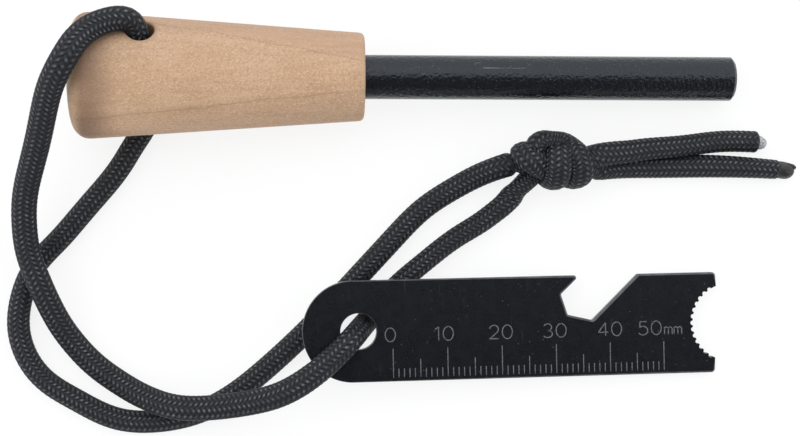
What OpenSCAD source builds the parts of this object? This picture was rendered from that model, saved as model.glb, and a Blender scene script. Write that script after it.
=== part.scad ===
// Fire steel on a cord: a turned wooden handle with a round flint rod, a flat steel striker
// with a millimetre scale, and one length of braided cord that threads both and is knotted.
// Millimetres. +Z is up, z = 0 is the surface that the set lies on, +X runs along the rod.

/* [Handle] */
// Length of the wooden handle
handle_len = 52; // [44:1:64]
// Diameter of the cone at the butt
butt_d = 23; // [20:0.5:26]
// Diameter of the cone at the neck, where the rod comes out
neck_d = 16; // [13:0.5:18]
// Rounding of the butt edge
butt_round = 1.5; // [0.8:0.1:2.5]
// Rounding of the neck edge
neck_round = 0.8; // [0.4:0.1:1.5]
// Diameter of the cord eye drilled across the handle
eye_d = 5; // [4.6:0.1:6]
// Distance of the cord eye from the butt face
eye_from_butt = 12.5; // [9:0.5:15]
// Roll of the cord eye away from straight up, towards the far side
eye_roll = 45; // [40:1:50]

/* [Rod] */
// Diameter of the flint rod
rod_d = 8; // [6:0.5:10]
// Whole length of the flint rod
rod_len = 100; // [80:1:120]
// Length of the rod that sits in the handle
rod_bury = 32.5; // [20:0.5:34]
// Chamfer on both ends of the rod
rod_chamfer = 0.5; // [0.2:0.1:1]
// Thickness of the glue round the rod
glue_wall = 0.2; // [0.2:0.05:0.4]
// Depth of the glue under the rod's end
glue_floor = 0.6; // [0.3:0.1:1.5]
// Number of ring grooves that key the buried rod in the glue
key_count = 3; // [1:1:4]
// Spacing of the ring grooves, the first one at the neck
key_pitch = 9; // [6:0.5:9.5]
// Width of a ring groove
key_w = 1.2; // [0.8:0.1:2]
// Depth of a ring groove
key_depth = 0.3; // [0.2:0.05:0.5]

/* [Striker] */
// Length of the striker plate
plate_len = 76; // [70:1:84]
// Width of the striker plate
plate_w = 18.5; // [17.5:0.5:21]
// Thickness of the striker plate
plate_t = 2; // [1.5:0.1:2.2]
// Diameter of the cord hole in the striker
hole_d = 6.6; // [6.4:0.1:7.4]
// Distance of the cord hole from the round end
hole_from_end = 10.2; // [9.4:0.1:11]
// Rounding of the plate's outer corners
corner_round = 0.7; // [0.3:0.1:1]

/* [Striker notch] */
// Distance from the round end to the tip of the hooked lip
lip_at = 50.3; // [48:0.1:52]
// How far the notch cuts back under the lip
lip_undercut = 2.8; // [1.5:0.1:3.5]
// Depth of the lip's slanted underside
lip_depth = 3.4; // [2.5:0.1:4.5]
// Depth of the notch at its inner end
throat_depth = 7.2; // [6:0.1:7.8]
// Depth of the notch at its deepest corner
notch_depth = 8.3; // [7.8:0.1:8.8]
// Step from the undercut corner to the inner end of the floor
throat_step = 1.2; // [0.6:0.1:1.8]
// Length of the notch floor along the plate
notch_floor = 4.6; // [3.5:0.1:5.5]
// Run of the long ramp out of the notch, along the plate
ramp_run = 8.6; // [7:0.1:9.5]

/* [Striker teeth] */
// Radius of the hollow at the toothed end
hollow_r = 7.2; // [6.8:0.1:8]
// Depth of the hollow into the plate
hollow_depth = 4.5; // [3.5:0.1:5]
// Spacing of the teeth along the hollow
tooth_pitch = 1.2; // [1:0.05:1.6]
// Radius of the round gullets between the teeth
gullet_r = 0.5; // [0.3:0.05:0.55]

/* [Striker scale] */
// Distance from the round end to the zero line
scale_from_end = 16.4; // [15:0.1:17]
// Length of the scale
scale_len = 50; // [40:1:52]
// Gap between the lines and the plate's lower edge
scale_margin = 0.7; // [0.4:0.1:1]
// Length of the lines at every ten
line_ten = 5.3; // [4:0.1:6]
// Length of the lines at every five
line_five = 3.3; // [2.5:0.1:3.8]
// Length of the lines at every one
line_one = 1.65; // [1:0.05:2.2]
// Width of an engraved line
line_w = 0.18; // [0.1:0.02:0.3]
// Depth of an engraved line
line_depth = 0.08; // [0.05:0.01:0.2]

/* [Cord] */
// Diameter of the braided cord
cord_d = 4; // [3.4:0.1:4.2]
// Radius of the middle of a turn in the knot
knot_turn_r = 3.2; // [2.8:0.1:3.6]
// Length of the straight core inside the knot's turns
knot_core_len = 11; // [9:0.5:12]
// Diameter of the melted core where it leaves the upper tail
core_tip_d = 2.6; // [2:0.1:3]
// Diameter of the melted core at its end
core_end_d = 1.6; // [1:0.1:1.9]
// Length of the melted core at the upper tail
core_tip_len = 1.5; // [0.8:0.1:2]
// Diameter of the melted sheath where it leaves the lower tail
melt_tip_d = 3.4; // [2.6:0.1:3.4]
// Diameter of the melted sheath at its end
melt_end_d = 2; // [1.2:0.1:2.5]
// Length of the melted sheath at the lower tail
melt_tip_len = 1.4; // [0.8:0.1:2]

/* [Lay-out] */
// Distance in Y from the handle's axis to the striker's hole
lay_gap = 46.1; // [44:0.1:48]
// X of the striker's hole
striker_x = -8.7; // [-10:0.1:-7]
// Turn of the striker in plan
striker_yaw = 1.2; // [0:0.1:3]
// Distance past the hole where the striker still clears the cord under it
prop_at = 10.2; // [8:0.1:12]
// Clearance between the striker and the cord under it
cord_gap = 0.3; // [0.2:0.05:0.6]

/* [Hidden] */

fine = 96;       // segments of the main turned surfaces
round_steps = 32; // segments of small round pieces
arc_steps = 6;   // straight steps in a rounded corner
over = 1;        // how far a cutting tool runs past what it cuts

butt_r = butt_d / 2;
neck_r = neck_d / 2;
rod_r = rod_d / 2;
cord_r = cord_d / 2;

// Cone of the handle: radius at a distance from the butt face, and the slope of its side
cone_slope = (butt_r - neck_r) / handle_len;
function cone_r(along) = butt_r - cone_slope * along;
cone_secant = sqrt(1 + cone_slope * cone_slope);

// Centres of the two edge roundings, as radii, where they touch both the end face and the cone
butt_round_r = cone_r(butt_round) - butt_round * cone_secant;
neck_round_r = cone_r(handle_len - neck_round) - neck_round * cone_secant;
side_angle = atan(cone_slope);
handle_max_r = butt_round_r + butt_round * cos(side_angle);

// The rod lies on its tip and the butt's rounding, so its axis slopes down to the tip
rod_out = rod_len - rod_bury;
fire_len = handle_len + rod_out;
tip_run = fire_len - rod_chamfer - butt_round;
tip_drop = butt_round_r - rod_r;
lean = atan(tip_drop / tip_run) + asin(butt_round / norm([tip_run, tip_drop]));
butt_z = butt_round * sin(lean) + butt_round_r * cos(lean) + butt_round;
low_x = butt_round * cos(lean) - butt_round_r * sin(lean) - butt_round;
high_x = fire_len * cos(lean) + (rod_r - rod_chamfer) * sin(lean);
butt_x = -(low_x + high_x) / 2;
handle_y = (lay_gap + plate_w / 2 - handle_max_r) / 2;

// Middle of the cord eye, its direction, and points on its axis
eye_axis = [cos(eye_roll) * sin(lean), sin(eye_roll), cos(eye_roll) * cos(lean)];
eye_mid = [butt_x + eye_from_butt * cos(lean), handle_y, butt_z - eye_from_butt * sin(lean)];
eye_reach = cone_r(eye_from_butt);
function on_eye(far) = eye_mid + far * eye_axis;

// The striker lies on its toothed end and on the cord that passes under it
striker_y = handle_y - lay_gap;
hole_to_tip = plate_len - hole_from_end;
striker_tilt = atan((cord_d + cord_gap) / (hole_to_tip - prop_at));
striker_z = hole_to_tip * sin(striker_tilt);
striker_axis = [sin(striker_tilt) * cos(striker_yaw), sin(striker_tilt) * sin(striker_yaw), cos(striker_tilt)];
hole_mid = [striker_x, striker_y, striker_z] + plate_t / 2 * striker_axis;

// Path of the cord through the striker's hole: over the plate, down through it and under it.
// Each pair is a distance in plan along thread_way and a height from the middle of the hole.
thread_way = [0.68, 0.733, 0];
thread_gap = 0.9;
thread_drop = plate_t / 2 + cord_r + thread_gap;
thread_bends = [[-4.4, 1], [-2.6, 0.9], [-1.2, 0.6], [0, 0], [1.2, -0.6], [2.6, -0.9], [4.4, -1]];
thread = [for (b = thread_bends) hole_mid + b[0] * thread_way + [0, 0, b[1] * thread_drop]];

// Route of the cord from the knot, under the striker, round the left side to the handle's eye
rear_run = [
    [21.5, 7.5, 5], [18.5, 6.2, 4], [15, 5, 3], [9, 2, 2], [3, -2, 2], [-2, -7, 2], [-8, -13.5, 2],
    [-14.5, -20.5, 2], [-20.5, -26.5, 2], [-26, -31.5, 2], [-31, -35.5, 2], [-38.5, -39.5, 2], [-45.5, -41, 2],
    [-53.5, -40.5, 2], [-61, -37, 2], [-66.5, -33.5, 2], [-70, -29, 2], [-71.5, -23.5, 2], [-71, -18.5, 2],
    [-68.5, -12.5, 2], [-64, -7.5, 2], [-60.5, -3.5, 2]];
rear_bight = [[-57.5, 0, 2], [-54.5, 3.5, 2], [-52, 7, 2], [-50.5, 9.5, 2], [-49, 11.8, 2.05],
              [-48.1, 13.2, 2.4]];
// Route from the handle's eye over the butt, down to the surface and back to the striker's hole
front_bight = [
    [-47.1, 31.3, 20], [-49, 31.8, 20.7], [-51.2, 31.2, 21.1], [-53.5, 30, 22], [-56, 27.5, 23.8],
    [-58.2, 24, 25.35], [-61.1, 19.5, 23.1], [-63.2, 15, 19.8], [-65, 10, 16.2], [-67, 5, 12.7]];
front_run = [
    [-68.5, 0, 9.7], [-69, -5, 7.8], [-68.5, -10, 6.8], [-67, -14.5, 6.2], [-64.5, -21, 4], [-60.5, -27.5, 2.2],
    [-55, -32.5, 2], [-47.5, -36.5, 3.8], [-41.5, -38, 5.9], [-35.5, -38, 6.5], [-28.5, -37, 7.6],
    [-22, -35, 9.7], [-14.5, -30, 10.45]];
// Route from the striker's hole to the knot, and of the two tails past it
striker_run = [[-3, -17.5, 2], [3, -12, 2], [9.5, -7, 2], [15, -3.5, 2.2], [20, 0.5, 3.2], [23.5, 3, 4]];
tail_upper_run = [[33, 9, 5.8], [36.5, 9, 5.3], [42.5, 9.5, 4.5], [50.5, 10, 3.4], [58, 10.5, 2.3], [65, 10.5, 2]];
tail_lower_run = [[33, 5, 4], [36.5, 5.2, 3], [44, 5.5, 2], [53, 5.7, 2], [61.5, 5.9, 2], [70, 5.5, 2]];

// The whole loop in one list, so that neighbouring stretches share their end rings
eye_run = [on_eye(-eye_reach), on_eye(0), on_eye(eye_reach)];
loop = concat(rear_run, rear_bight, eye_run, front_bight, front_run, thread, striker_run);
rear_bight_at = len(rear_run) - 1;
eye_at = rear_bight_at + 1 + len(rear_bight);
front_bight_at = eye_at + len(eye_run) - 1;
front_run_at = front_bight_at + len(front_bight);
striker_run_at = front_run_at + len(front_run) + floor(len(thread) / 2);
loop_end = len(loop) - 1;

// Sweep of a round cord along points: each ring is turned as little as possible from the one before
cord_sides = 10;
function unit(v) = v / norm(v);
function heading(p, i) = unit(p[min(i + 1, len(p) - 1)] - p[max(i - 1, 0)]);
function square_to(v, way) = unit(v - (v * way) * way);
function sides_of(p, i = 0, side = [0, 0, 1]) =
    i == len(p) ? [] :
    let (way = heading(p, i), now = square_to(side, way))
    concat([now], sides_of(p, i + 1, now));
function ring(p, i, side, r) =
    let (across = cross(heading(p, i), side))
    [for (k = [0 : cord_sides - 1])
        let (a = 360 * k / cord_sides) p[i] + r * (cos(a) * side + sin(a) * across)];
function rings(p, r) =
    let (side = sides_of(p)) [for (i = [0 : len(p) - 1]) ring(p, i, side[i], r)];
function cord_length(p, i = 0) = i + 1 >= len(p) ? 0 : norm(p[i + 1] - p[i]) + cord_length(p, i + 1);
echo(loop_length = cord_length(loop), tails = cord_length(tail_upper_run) + cord_length(tail_lower_run));
echo(eye_mid = eye_mid, eye_axis = eye_axis, hole_mid = hole_mid, striker_axis = striker_axis);
echo(rod_lean = lean, butt_mid = [butt_x, handle_y, butt_z]);

module tube(all_rings, first, last) {
    n = cord_sides;
    used = [for (i = [first : last]) all_rings[i]];
    rows = len(used) - 1;
    around = [for (i = [0 : rows - 1], k = [0 : n - 1])
        let (a = i * n + k, b = i * n + (k + 1) % n)
        each [[a, a + n, b], [b, a + n, b + n]]];
    caps = [[for (k = [0 : n - 1]) k], [for (k = [n - 1 : -1 : 0]) rows * n + k]];
    polyhedron(points = [for (row = used) each row], faces = concat(around, caps));
}

module in_handle() {
    translate([butt_x, handle_y, butt_z]) rotate([0, lean, 0]) children();
}

module in_striker() {
    translate([striker_x, striker_y, striker_z]) rotate([0, striker_tilt, striker_yaw]) children();
}

// An upright turned piece laid along X: its profile has radius across and length up
module lying() {
    rotate([0, 90, 0]) rotate_extrude($fn = fine) children();
}

function arc(centre, r, from, to) =
    [for (k = [0 : arc_steps]) let (a = from + (to - from) * k / arc_steps) centre + r * [cos(a), sin(a)]];

module handle() {
    socket_r = rod_r + glue_wall;
    color("burlywood") in_handle() difference() {
        lying() polygon(concat(
            [[0, 0]],
            arc([butt_round_r, butt_round], butt_round, -90, side_angle),
            arc([neck_round_r, handle_len - neck_round], neck_round, side_angle, 90),
            [[0, handle_len]]));
        translate([handle_len - rod_bury - glue_floor, 0, 0]) rotate([0, 90, 0])
            cylinder(r = socket_r, h = rod_bury + glue_floor + over, $fn = fine);
        translate([eye_from_butt, 0, 0]) rotate([-eye_roll, 0, 0])
            cylinder(d = eye_d, h = butt_d + 2 * over, center = true, $fn = fine);
    }
}

// Half section of the rod: radius across, length up from its buried end, with the ring grooves
module rod_profile() {
    difference() {
        polygon([[0, 0], [rod_r - rod_chamfer, 0], [rod_r, rod_chamfer], [rod_r, rod_len - rod_chamfer],
                 [rod_r - rod_chamfer, rod_len], [0, rod_len]]);
        for (k = [0 : key_count - 1]) translate([rod_r - key_depth, rod_bury - key_w - k * key_pitch])
            square([key_depth + over, key_w]);
    }
}

module ferro_rod() {
    color([0.08, 0.08, 0.09]) in_handle() translate([handle_len - rod_bury, 0, 0]) lying() rod_profile();
}

module rod_glue() {
    color("khaki") in_handle() translate([handle_len - rod_bury, 0, 0]) lying() difference() {
        translate([0, -glue_floor]) square([rod_r + glue_wall, rod_bury + glue_floor]);
        rod_profile();
    }
}

// Outline of the striker from above. The hole is at [0, 0] and the round end is on the left.
end_x = -hole_from_end;
half_w = plate_w / 2;
lip_x = end_x + lip_at;
under_x = lip_x - lip_undercut;
throat_x = under_x + throat_step;
floor_x = throat_x + notch_floor;

module plate_outline() {
    difference() {
        union() {
            translate([end_x + half_w, 0]) circle(half_w, $fn = fine);
            polygon(concat(
                [[end_x + half_w, -half_w]],
                arc([hole_to_tip - corner_round, corner_round - half_w], corner_round, -90, 0),
                arc([hole_to_tip - corner_round, half_w - corner_round], corner_round, 0, 90),
                [[end_x + half_w, half_w]]));
        }
        circle(d = hole_d, $fn = fine);
        polygon([[lip_x, half_w], [under_x, half_w - lip_depth], [throat_x, half_w - throat_depth],
                 [floor_x, half_w - notch_depth], [floor_x + ramp_run, half_w],
                 [floor_x + ramp_run + over, half_w + over], [lip_x + over, half_w + over]]);
        toothed_hollow();
    }
}

module toothed_hollow() {
    hollow_x = hole_to_tip - hollow_depth + hollow_r;
    step = tooth_pitch / hollow_r * 180 / PI;
    half_arc = acos((hollow_r - hollow_depth) / hollow_r);
    count = floor((half_arc - gullet_r / hollow_r * 180 / PI) / step);
    translate([hollow_x, 0]) {
        circle(hollow_r, $fn = fine);
        for (k = [-count : count]) rotate(180 + k * step) translate([hollow_r, 0]) circle(gullet_r, $fn = round_steps);
    }
}

module scale_lines() {
    zero_x = end_x + scale_from_end;
    for (mm = [0 : scale_len]) {
        long = mm % 10 == 0 ? line_ten : mm % 5 == 0 ? line_five : line_one;
        translate([zero_x + mm - line_w / 2, -half_w + scale_margin, plate_t - line_depth])
            cube([line_w, long, line_depth + over]);
    }
}

module striker() {
    color([0.1, 0.1, 0.11]) in_striker() difference() {
        linear_extrude(plate_t) plate_outline();
        scale_lines();
    }
}

loop_rings = rings(loop, cord_r);
module loop_stretch(first, last) {
    color([0.09, 0.09, 0.1]) tube(loop_rings, first, last);
}
module cord_rear_run() { loop_stretch(0, rear_bight_at); }
module cord_rear_bight() { loop_stretch(rear_bight_at, eye_at); }
module cord_eye() { loop_stretch(eye_at, front_bight_at); }
module cord_front_bight() { loop_stretch(front_bight_at, front_run_at); }
module cord_front_run() { loop_stretch(front_run_at, striker_run_at); }
module cord_striker_run() { loop_stretch(striker_run_at, loop_end); }

module tail(run) {
    color([0.09, 0.09, 0.1]) tube(rings(run, cord_r), 0, len(run) - 1);
}
module tail_upper() { tail(tail_upper_run); }
module tail_lower() { tail(tail_lower_run); }

// The knot's turns: each is a ring of cord, by its place along the knot, its yaw and its pitch
knot_mid = [27.2, 7.1, knot_turn_r + cord_r];
knot_turns = [[-3.3, 50, -20], [-0.4, 28, 18], [2.6, -8, 0], [5, -14, 6]];
module knot() {
    color([0.09, 0.09, 0.1]) translate(knot_mid) {
        for (turn = knot_turns) translate([turn[0], 0, 0]) rotate([0, turn[2], turn[1]]) rotate([0, 90, 0])
            rotate_extrude($fn = fine) translate([knot_turn_r, 0]) circle(cord_r, $fn = round_steps);
        rotate([0, 90, 0]) cylinder(r = knot_turn_r, h = knot_core_len, center = true, $fn = round_steps);
    }
}

// A melted end, square on the last point of a tail
module at_end_of(run) {
    last = len(run) - 1;
    way = heading(run, last);
    translate(run[last]) rotate([0, 90 - asin(way[2]), atan2(way[1], way[0])]) children();
}
module tail_core_tip() {
    color("gainsboro") at_end_of(tail_upper_run)
        cylinder(d1 = core_tip_d, d2 = core_end_d, h = core_tip_len, $fn = round_steps);
}
module tail_melt_tip() {
    color([0.07, 0.07, 0.08]) at_end_of(tail_lower_run)
        cylinder(d1 = melt_tip_d, d2 = melt_end_d, h = melt_tip_len, $fn = round_steps);
}

handle();
ferro_rod();
rod_glue();
striker();
cord_rear_run();
cord_rear_bight();
cord_eye();
cord_front_bight();
cord_front_run();
cord_striker_run();
knot();
tail_upper();
tail_lower();
tail_core_tip();
tail_melt_tip();
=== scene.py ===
"""Looks of a fire steel seen from straight above.

A black flint rod in a turned wooden handle and a steel striker with a millimetre scale hang on one braided
cord, which is knotted beside them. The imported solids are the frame. The handle, the striker's plate and its
marks, the cord with its knot and the melted cord ends are worked out here as surfaces; the rod and its glue
stay as packed. Materials are made of nodes, and an effect that several of them use is a node group.
"""

import logging
import math
from dataclasses import dataclass, field, fields
from enum import Enum
from typing import ClassVar, Sequence

import bpy
import numpy as np
from mathutils.geometry import tessellate_polygon
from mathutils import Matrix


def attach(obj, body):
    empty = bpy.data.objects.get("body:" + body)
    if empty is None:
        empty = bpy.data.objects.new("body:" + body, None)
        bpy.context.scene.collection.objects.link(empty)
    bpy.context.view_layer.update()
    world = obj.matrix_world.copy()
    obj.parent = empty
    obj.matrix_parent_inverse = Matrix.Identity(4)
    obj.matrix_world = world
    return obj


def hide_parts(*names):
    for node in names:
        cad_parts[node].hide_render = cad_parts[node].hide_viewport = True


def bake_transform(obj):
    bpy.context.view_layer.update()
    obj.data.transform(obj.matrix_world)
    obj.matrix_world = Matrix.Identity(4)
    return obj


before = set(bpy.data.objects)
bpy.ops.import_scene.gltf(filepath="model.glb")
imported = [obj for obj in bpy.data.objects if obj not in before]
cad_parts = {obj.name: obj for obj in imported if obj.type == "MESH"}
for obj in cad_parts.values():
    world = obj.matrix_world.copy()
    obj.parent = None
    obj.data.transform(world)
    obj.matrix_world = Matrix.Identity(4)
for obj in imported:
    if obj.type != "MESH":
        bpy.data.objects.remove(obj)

log = logging.getLogger("fire_steel")

Array = np.ndarray
Piece = bpy.types.Object
Material = bpy.types.Material
Spot = tuple[float, float]
Point = tuple[float, float, float]
Colour = tuple[float, float, float]
Span = tuple[float, ...]

MM = 0.001
TINY = 1e-12
UP = np.array([0.0, 0.0, 1.0])
# The Mix node's colour sockets go by number, because their names repeat for each kind of value.
MIX_SHARE, MIX_FIRST, MIX_SECOND, MIX_RESULT = 0, 6, 7, 2


class Body(str, Enum):
    """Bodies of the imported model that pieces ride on."""

    LANYARD = "lanyard"
    FIRE_ROD = "fire_rod"
    STRIKER = "striker"


class Slot(str, Enum):
    """Material slots of the record."""

    WOOD = "wood"
    STRIKER = "striker_coat"
    CORD = "cord"
    CORE = "cord_core"
    MELT = "cord_melt"


@dataclass(frozen=True)
class Photo:
    """The photograph's width and focal length in pixels; its camera's place and sensor in millimetres."""

    width: int = 800
    focal_px: float = 1576.0
    eye: Point = (-1.03, -3.5, 293.0)
    sensor: float = 36.0

    def lens(self) -> float:
        """Focal length in millimetres on the sensor's width."""
        return self.focal_px * self.sensor / self.width


@dataclass(frozen=True)
class Lie:
    """How the handle and the rod lie: the middle of the butt in millimetres, and their axis' slope."""

    butt_mid: Point = (-59.4295, 21.9789, 11.4703)
    lean_deg: float = 3.60298


@dataclass(frozen=True)
class YarnRule:
    """How the braid's yarns rise: each hand's phase in crossings, and how their rounded sides fall off."""

    phases: Spot = (0.5, 2.5)
    side_power: float = 2.2
    side_drop: float = 0.75


PHOTO = Photo()
LIE = Lie()
YARN = YarnRule()


def unit(vectors: Array) -> Array:
    """Each row scaled to length one."""
    return vectors / np.maximum(np.linalg.norm(vectors, axis=-1, keepdims=True), TINY)


def smoothstep(low: float, high: float, values: Array) -> Array:
    """Cubic step: 0 below low, 1 above high, 3t^2 - 2t^3 between."""
    t = np.clip((values - low) / (high - low), 0.0, 1.0)
    return t * t * (3.0 - 2.0 * t)


def circle(count: int) -> Array:
    """Angles evenly round a circle, the first at 0."""
    return np.arange(count) / count * 2.0 * math.pi


def travelled(points: Array) -> Array:
    """Distance run along a polyline at each of its points."""
    return np.concatenate([[0.0], np.cumsum(np.linalg.norm(np.diff(points, axis=0), axis=1))])


def respaced(points: Array, count: int) -> Array:
    """Points evenly spaced along a polyline, with the same ends.

    Args:
        points: The polyline.
        count: Number of points wanted.

    Returns:
        The new points.
    """
    run = travelled(points)
    at = np.linspace(0.0, run[-1], count)
    return np.stack([np.interp(at, run, column) for column in points.T], axis=1)


def cubic_through(points: Array, count: int) -> Array:
    """Natural cubic spline through given points, over the distance from point to point.

    The second derivatives m solve the usual three-term equations h0 m0 + 2(h0 + h1) m1 + h1 m2 = 6 (d1 - d0),
    and each stretch is the cubic that has them.

    Args:
        points: The given points.
        count: Number of points wanted, evenly spaced in that distance.

    Returns:
        Points of the spline.
    """
    at = travelled(points)
    wanted = np.linspace(0.0, at[-1], count)
    h = np.diff(at)
    d = np.diff(points, axis=0) / h[:, None]
    last = len(at) - 1
    rows, right = np.eye(last + 1), np.zeros_like(points)
    inner = np.arange(1, last)
    rows[inner, inner - 1] = h[:-1]
    rows[inner, inner] = 2.0 * (h[:-1] + h[1:])
    rows[inner, inner + 1] = h[1:]
    right[1:-1] = 6.0 * (d[1:] - d[:-1])
    m = np.linalg.solve(rows, right)
    i = np.clip(np.searchsorted(at, wanted, side="right") - 1, 0, last - 1)
    a, b, w = (at[i + 1] - wanted)[:, None], (wanted - at[i])[:, None], h[i][:, None]
    return (
        (m[i] * a**3 + m[i + 1] * b**3) / (6.0 * w)
        + (points[i] / w - m[i] * w / 6.0) * a
        + (points[i + 1] / w - m[i + 1] * w / 6.0) * b
    )


def eased(values: Array, reach: int) -> Array:
    """Running mean along the first axis, twice, with the ends repeated.

    Args:
        values: Rows to smooth.
        reach: Rows on each side that count.

    Returns:
        Rows of the same number.
    """
    kernel = np.ones(2 * reach + 1) / (2 * reach + 1)
    out = values.reshape(len(values), -1)
    for _ in range(2):
        padded = np.concatenate([np.repeat(out[:1], reach, 0), out, np.repeat(out[-1:], reach, 0)])
        out = np.stack([np.convolve(column, kernel, "valid") for column in padded.T], axis=1)
    return out.reshape(values.shape)


def ovals(line: Array, side: Array, up: Array, a: Array, b: Array) -> Array:
    """Rings round a line: middle + a cos(t) side + b sin(t) up, with t evenly round the circle.

    Args:
        line: Middles of the rings.
        side: Direction of the first half axis, for each ring or for all.
        up: Direction of the second.
        a: First half axis, rings by sides.
        b: Second half axis, rings by sides.

    Returns:
        Points, rings by sides by three.
    """
    turn = circle(a.shape[1])
    across, over = (a * np.cos(turn))[..., None], (b * np.sin(turn))[..., None]
    return line[:, None] + across * side[:, None] + over * up[:, None]


@dataclass
class Surface:
    """Points, faces and pattern coordinates of a piece while it is put together, in millimetres."""

    points: list[Array] = field(default_factory=list)
    faces: list[Array] = field(default_factory=list)
    corners: list[Array] = field(default_factory=list)
    flat: list[Array] = field(default_factory=list)
    count: int = 0

    def add(self, points: Array) -> int:
        """Append points.

        Args:
            points: Points in an array of any shape.

        Returns:
            Number of the first.
        """
        self.points.append(points.reshape(-1, 3))
        self.count += len(self.points[-1])
        return self.count - len(self.points[-1])

    def add_faces(self, faces: Array, corners: Array | None = None, flat: bool = False) -> None:
        """Append faces between points that are there already.

        Args:
            faces: Point numbers, one row for each face.
            corners: Pattern coordinates of each face's corners; none are zeros.
            flat: Whether the faces are shaded flat.
        """
        self.faces.append(faces)
        self.corners.append(np.zeros(faces.shape + (2,)) if corners is None else corners)
        self.flat.append(np.full(len(faces), flat))

    def add_ends(self, first: int, rows: int, sides: int, ends: Array) -> None:
        """Close a tube's two ends by triangles from its first and last ring to a pole.

        Args:
            first: Number of the tube's first point.
            rows: Number of rings.
            sides: Number of points in a ring.
            ends: The two poles.
        """
        pole = self.add(ends)
        for ring, tip, step in ((first, pole, 1), (first + (rows - 1) * sides, pole + 1, -1)):
            one = ring + np.arange(sides)
            pair = [np.roll(one, -1), one][::step]
            self.add_faces(np.stack([*pair, np.full_like(one, tip)], axis=1))

    def add_tube(self, rings: Array, corners: Array | None = None) -> None:
        """Append a tube with a pole at each end.

        Args:
            rings: Points, rings by sides by three, turning so that sides cross rings gives outwards.
            corners: Pattern coordinates, rings by sides + 1 by two.
        """
        rows, sides = rings.shape[:2]
        if corners is not None:
            quad = [corners[:-1, :-1], corners[:-1, 1:], corners[1:, 1:], corners[1:, :-1]]
            corners = np.stack(quad, axis=2).reshape(-1, 4, 2)
        first = self.add(rings)
        self.add_faces(first + tube_faces(rows, sides), corners)
        self.add_ends(first, rows, sides, np.stack([rings[0].mean(0), rings[-1].mean(0)]))

    def to_object(self, name: str) -> Piece:
        """Make the Blender object, in metres and at the origin, with the coordinates in the map Pattern.

        Args:
            name: Name of the piece.

        Returns:
            The linked object.
        """
        mesh = bpy.data.meshes.new(name)
        rows = [row for face in self.faces for row in face.tolist()]
        mesh.from_pydata((np.concatenate(self.points) * MM).tolist(), [], rows)
        uv = np.concatenate([corner.reshape(-1, 2) for corner in self.corners])
        mesh.uv_layers.new(name="Pattern").data.foreach_set("uv", uv.astype(np.float32).ravel())
        mesh.polygons.foreach_set("use_smooth", ~np.concatenate(self.flat))
        mesh.validate()
        mesh.update()
        piece = bpy.data.objects.new(name, mesh)
        bpy.context.scene.collection.objects.link(piece)
        return piece

    def to_rigid(self, name: str, body: Body, slot: Slot, *nodes: str) -> Piece:
        """Make the object of a rigid piece.

        Args:
            name: Name of the piece.
            body: Body that it rides on.
            slot: Material slot of the piece; not used.
            *nodes: Solids that it stands for.

        Returns:
            The object.
        """
        piece = self.to_object(name)
        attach(piece, body.value)
        if nodes:
            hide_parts(*nodes)
        return piece


def tube_faces(rows: int, sides: int) -> Array:
    """Point numbers of a closed tube grid's four-sided faces, ordered so that they look outwards.

    Args:
        rows: Number of rings.
        sides: Number of points in a ring.

    Returns:
        One row for each face.
    """
    i, j = np.meshgrid(np.arange(rows - 1) * sides, np.arange(sides), indexing="ij")
    k = (j + 1) % sides
    return np.stack([i + j, i + k, i + sides + k, i + sides + j], axis=-1).reshape(-1, 4)


@dataclass(frozen=True, eq=False)
class Value:
    """A node's output, which changes over the surface and takes the usual signs of sums."""

    graph: "Graph"
    socket: bpy.types.NodeSocket

    def __add__(self, other: "Value | float") -> "Value":
        """The sum."""
        return self.graph.math("ADD", self, other)

    def __sub__(self, other: "Value | float") -> "Value":
        """The difference."""
        return self.graph.math("SUBTRACT", self, other)

    def __mul__(self, other: "Value | float") -> "Value":
        """The product."""
        return self.graph.math("MULTIPLY", self, other)

    def __truediv__(self, other: "Value | float") -> "Value":
        """The quotient."""
        return self.graph.math("DIVIDE", self, other)

    def __pow__(self, other: "Value | float") -> "Value":
        """The power."""
        return self.graph.math("POWER", self, other)

    def __gt__(self, other: "Value | float") -> "Value":
        """1 where it is greater, 0 elsewhere."""
        return self.graph.math("GREATER_THAN", self, other)

    def __abs__(self) -> "Value":
        """The size without its sign."""
        return self.graph.math("ABSOLUTE", self)


Feed = Value | float | Sequence[float] | None
Key = str | int


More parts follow.
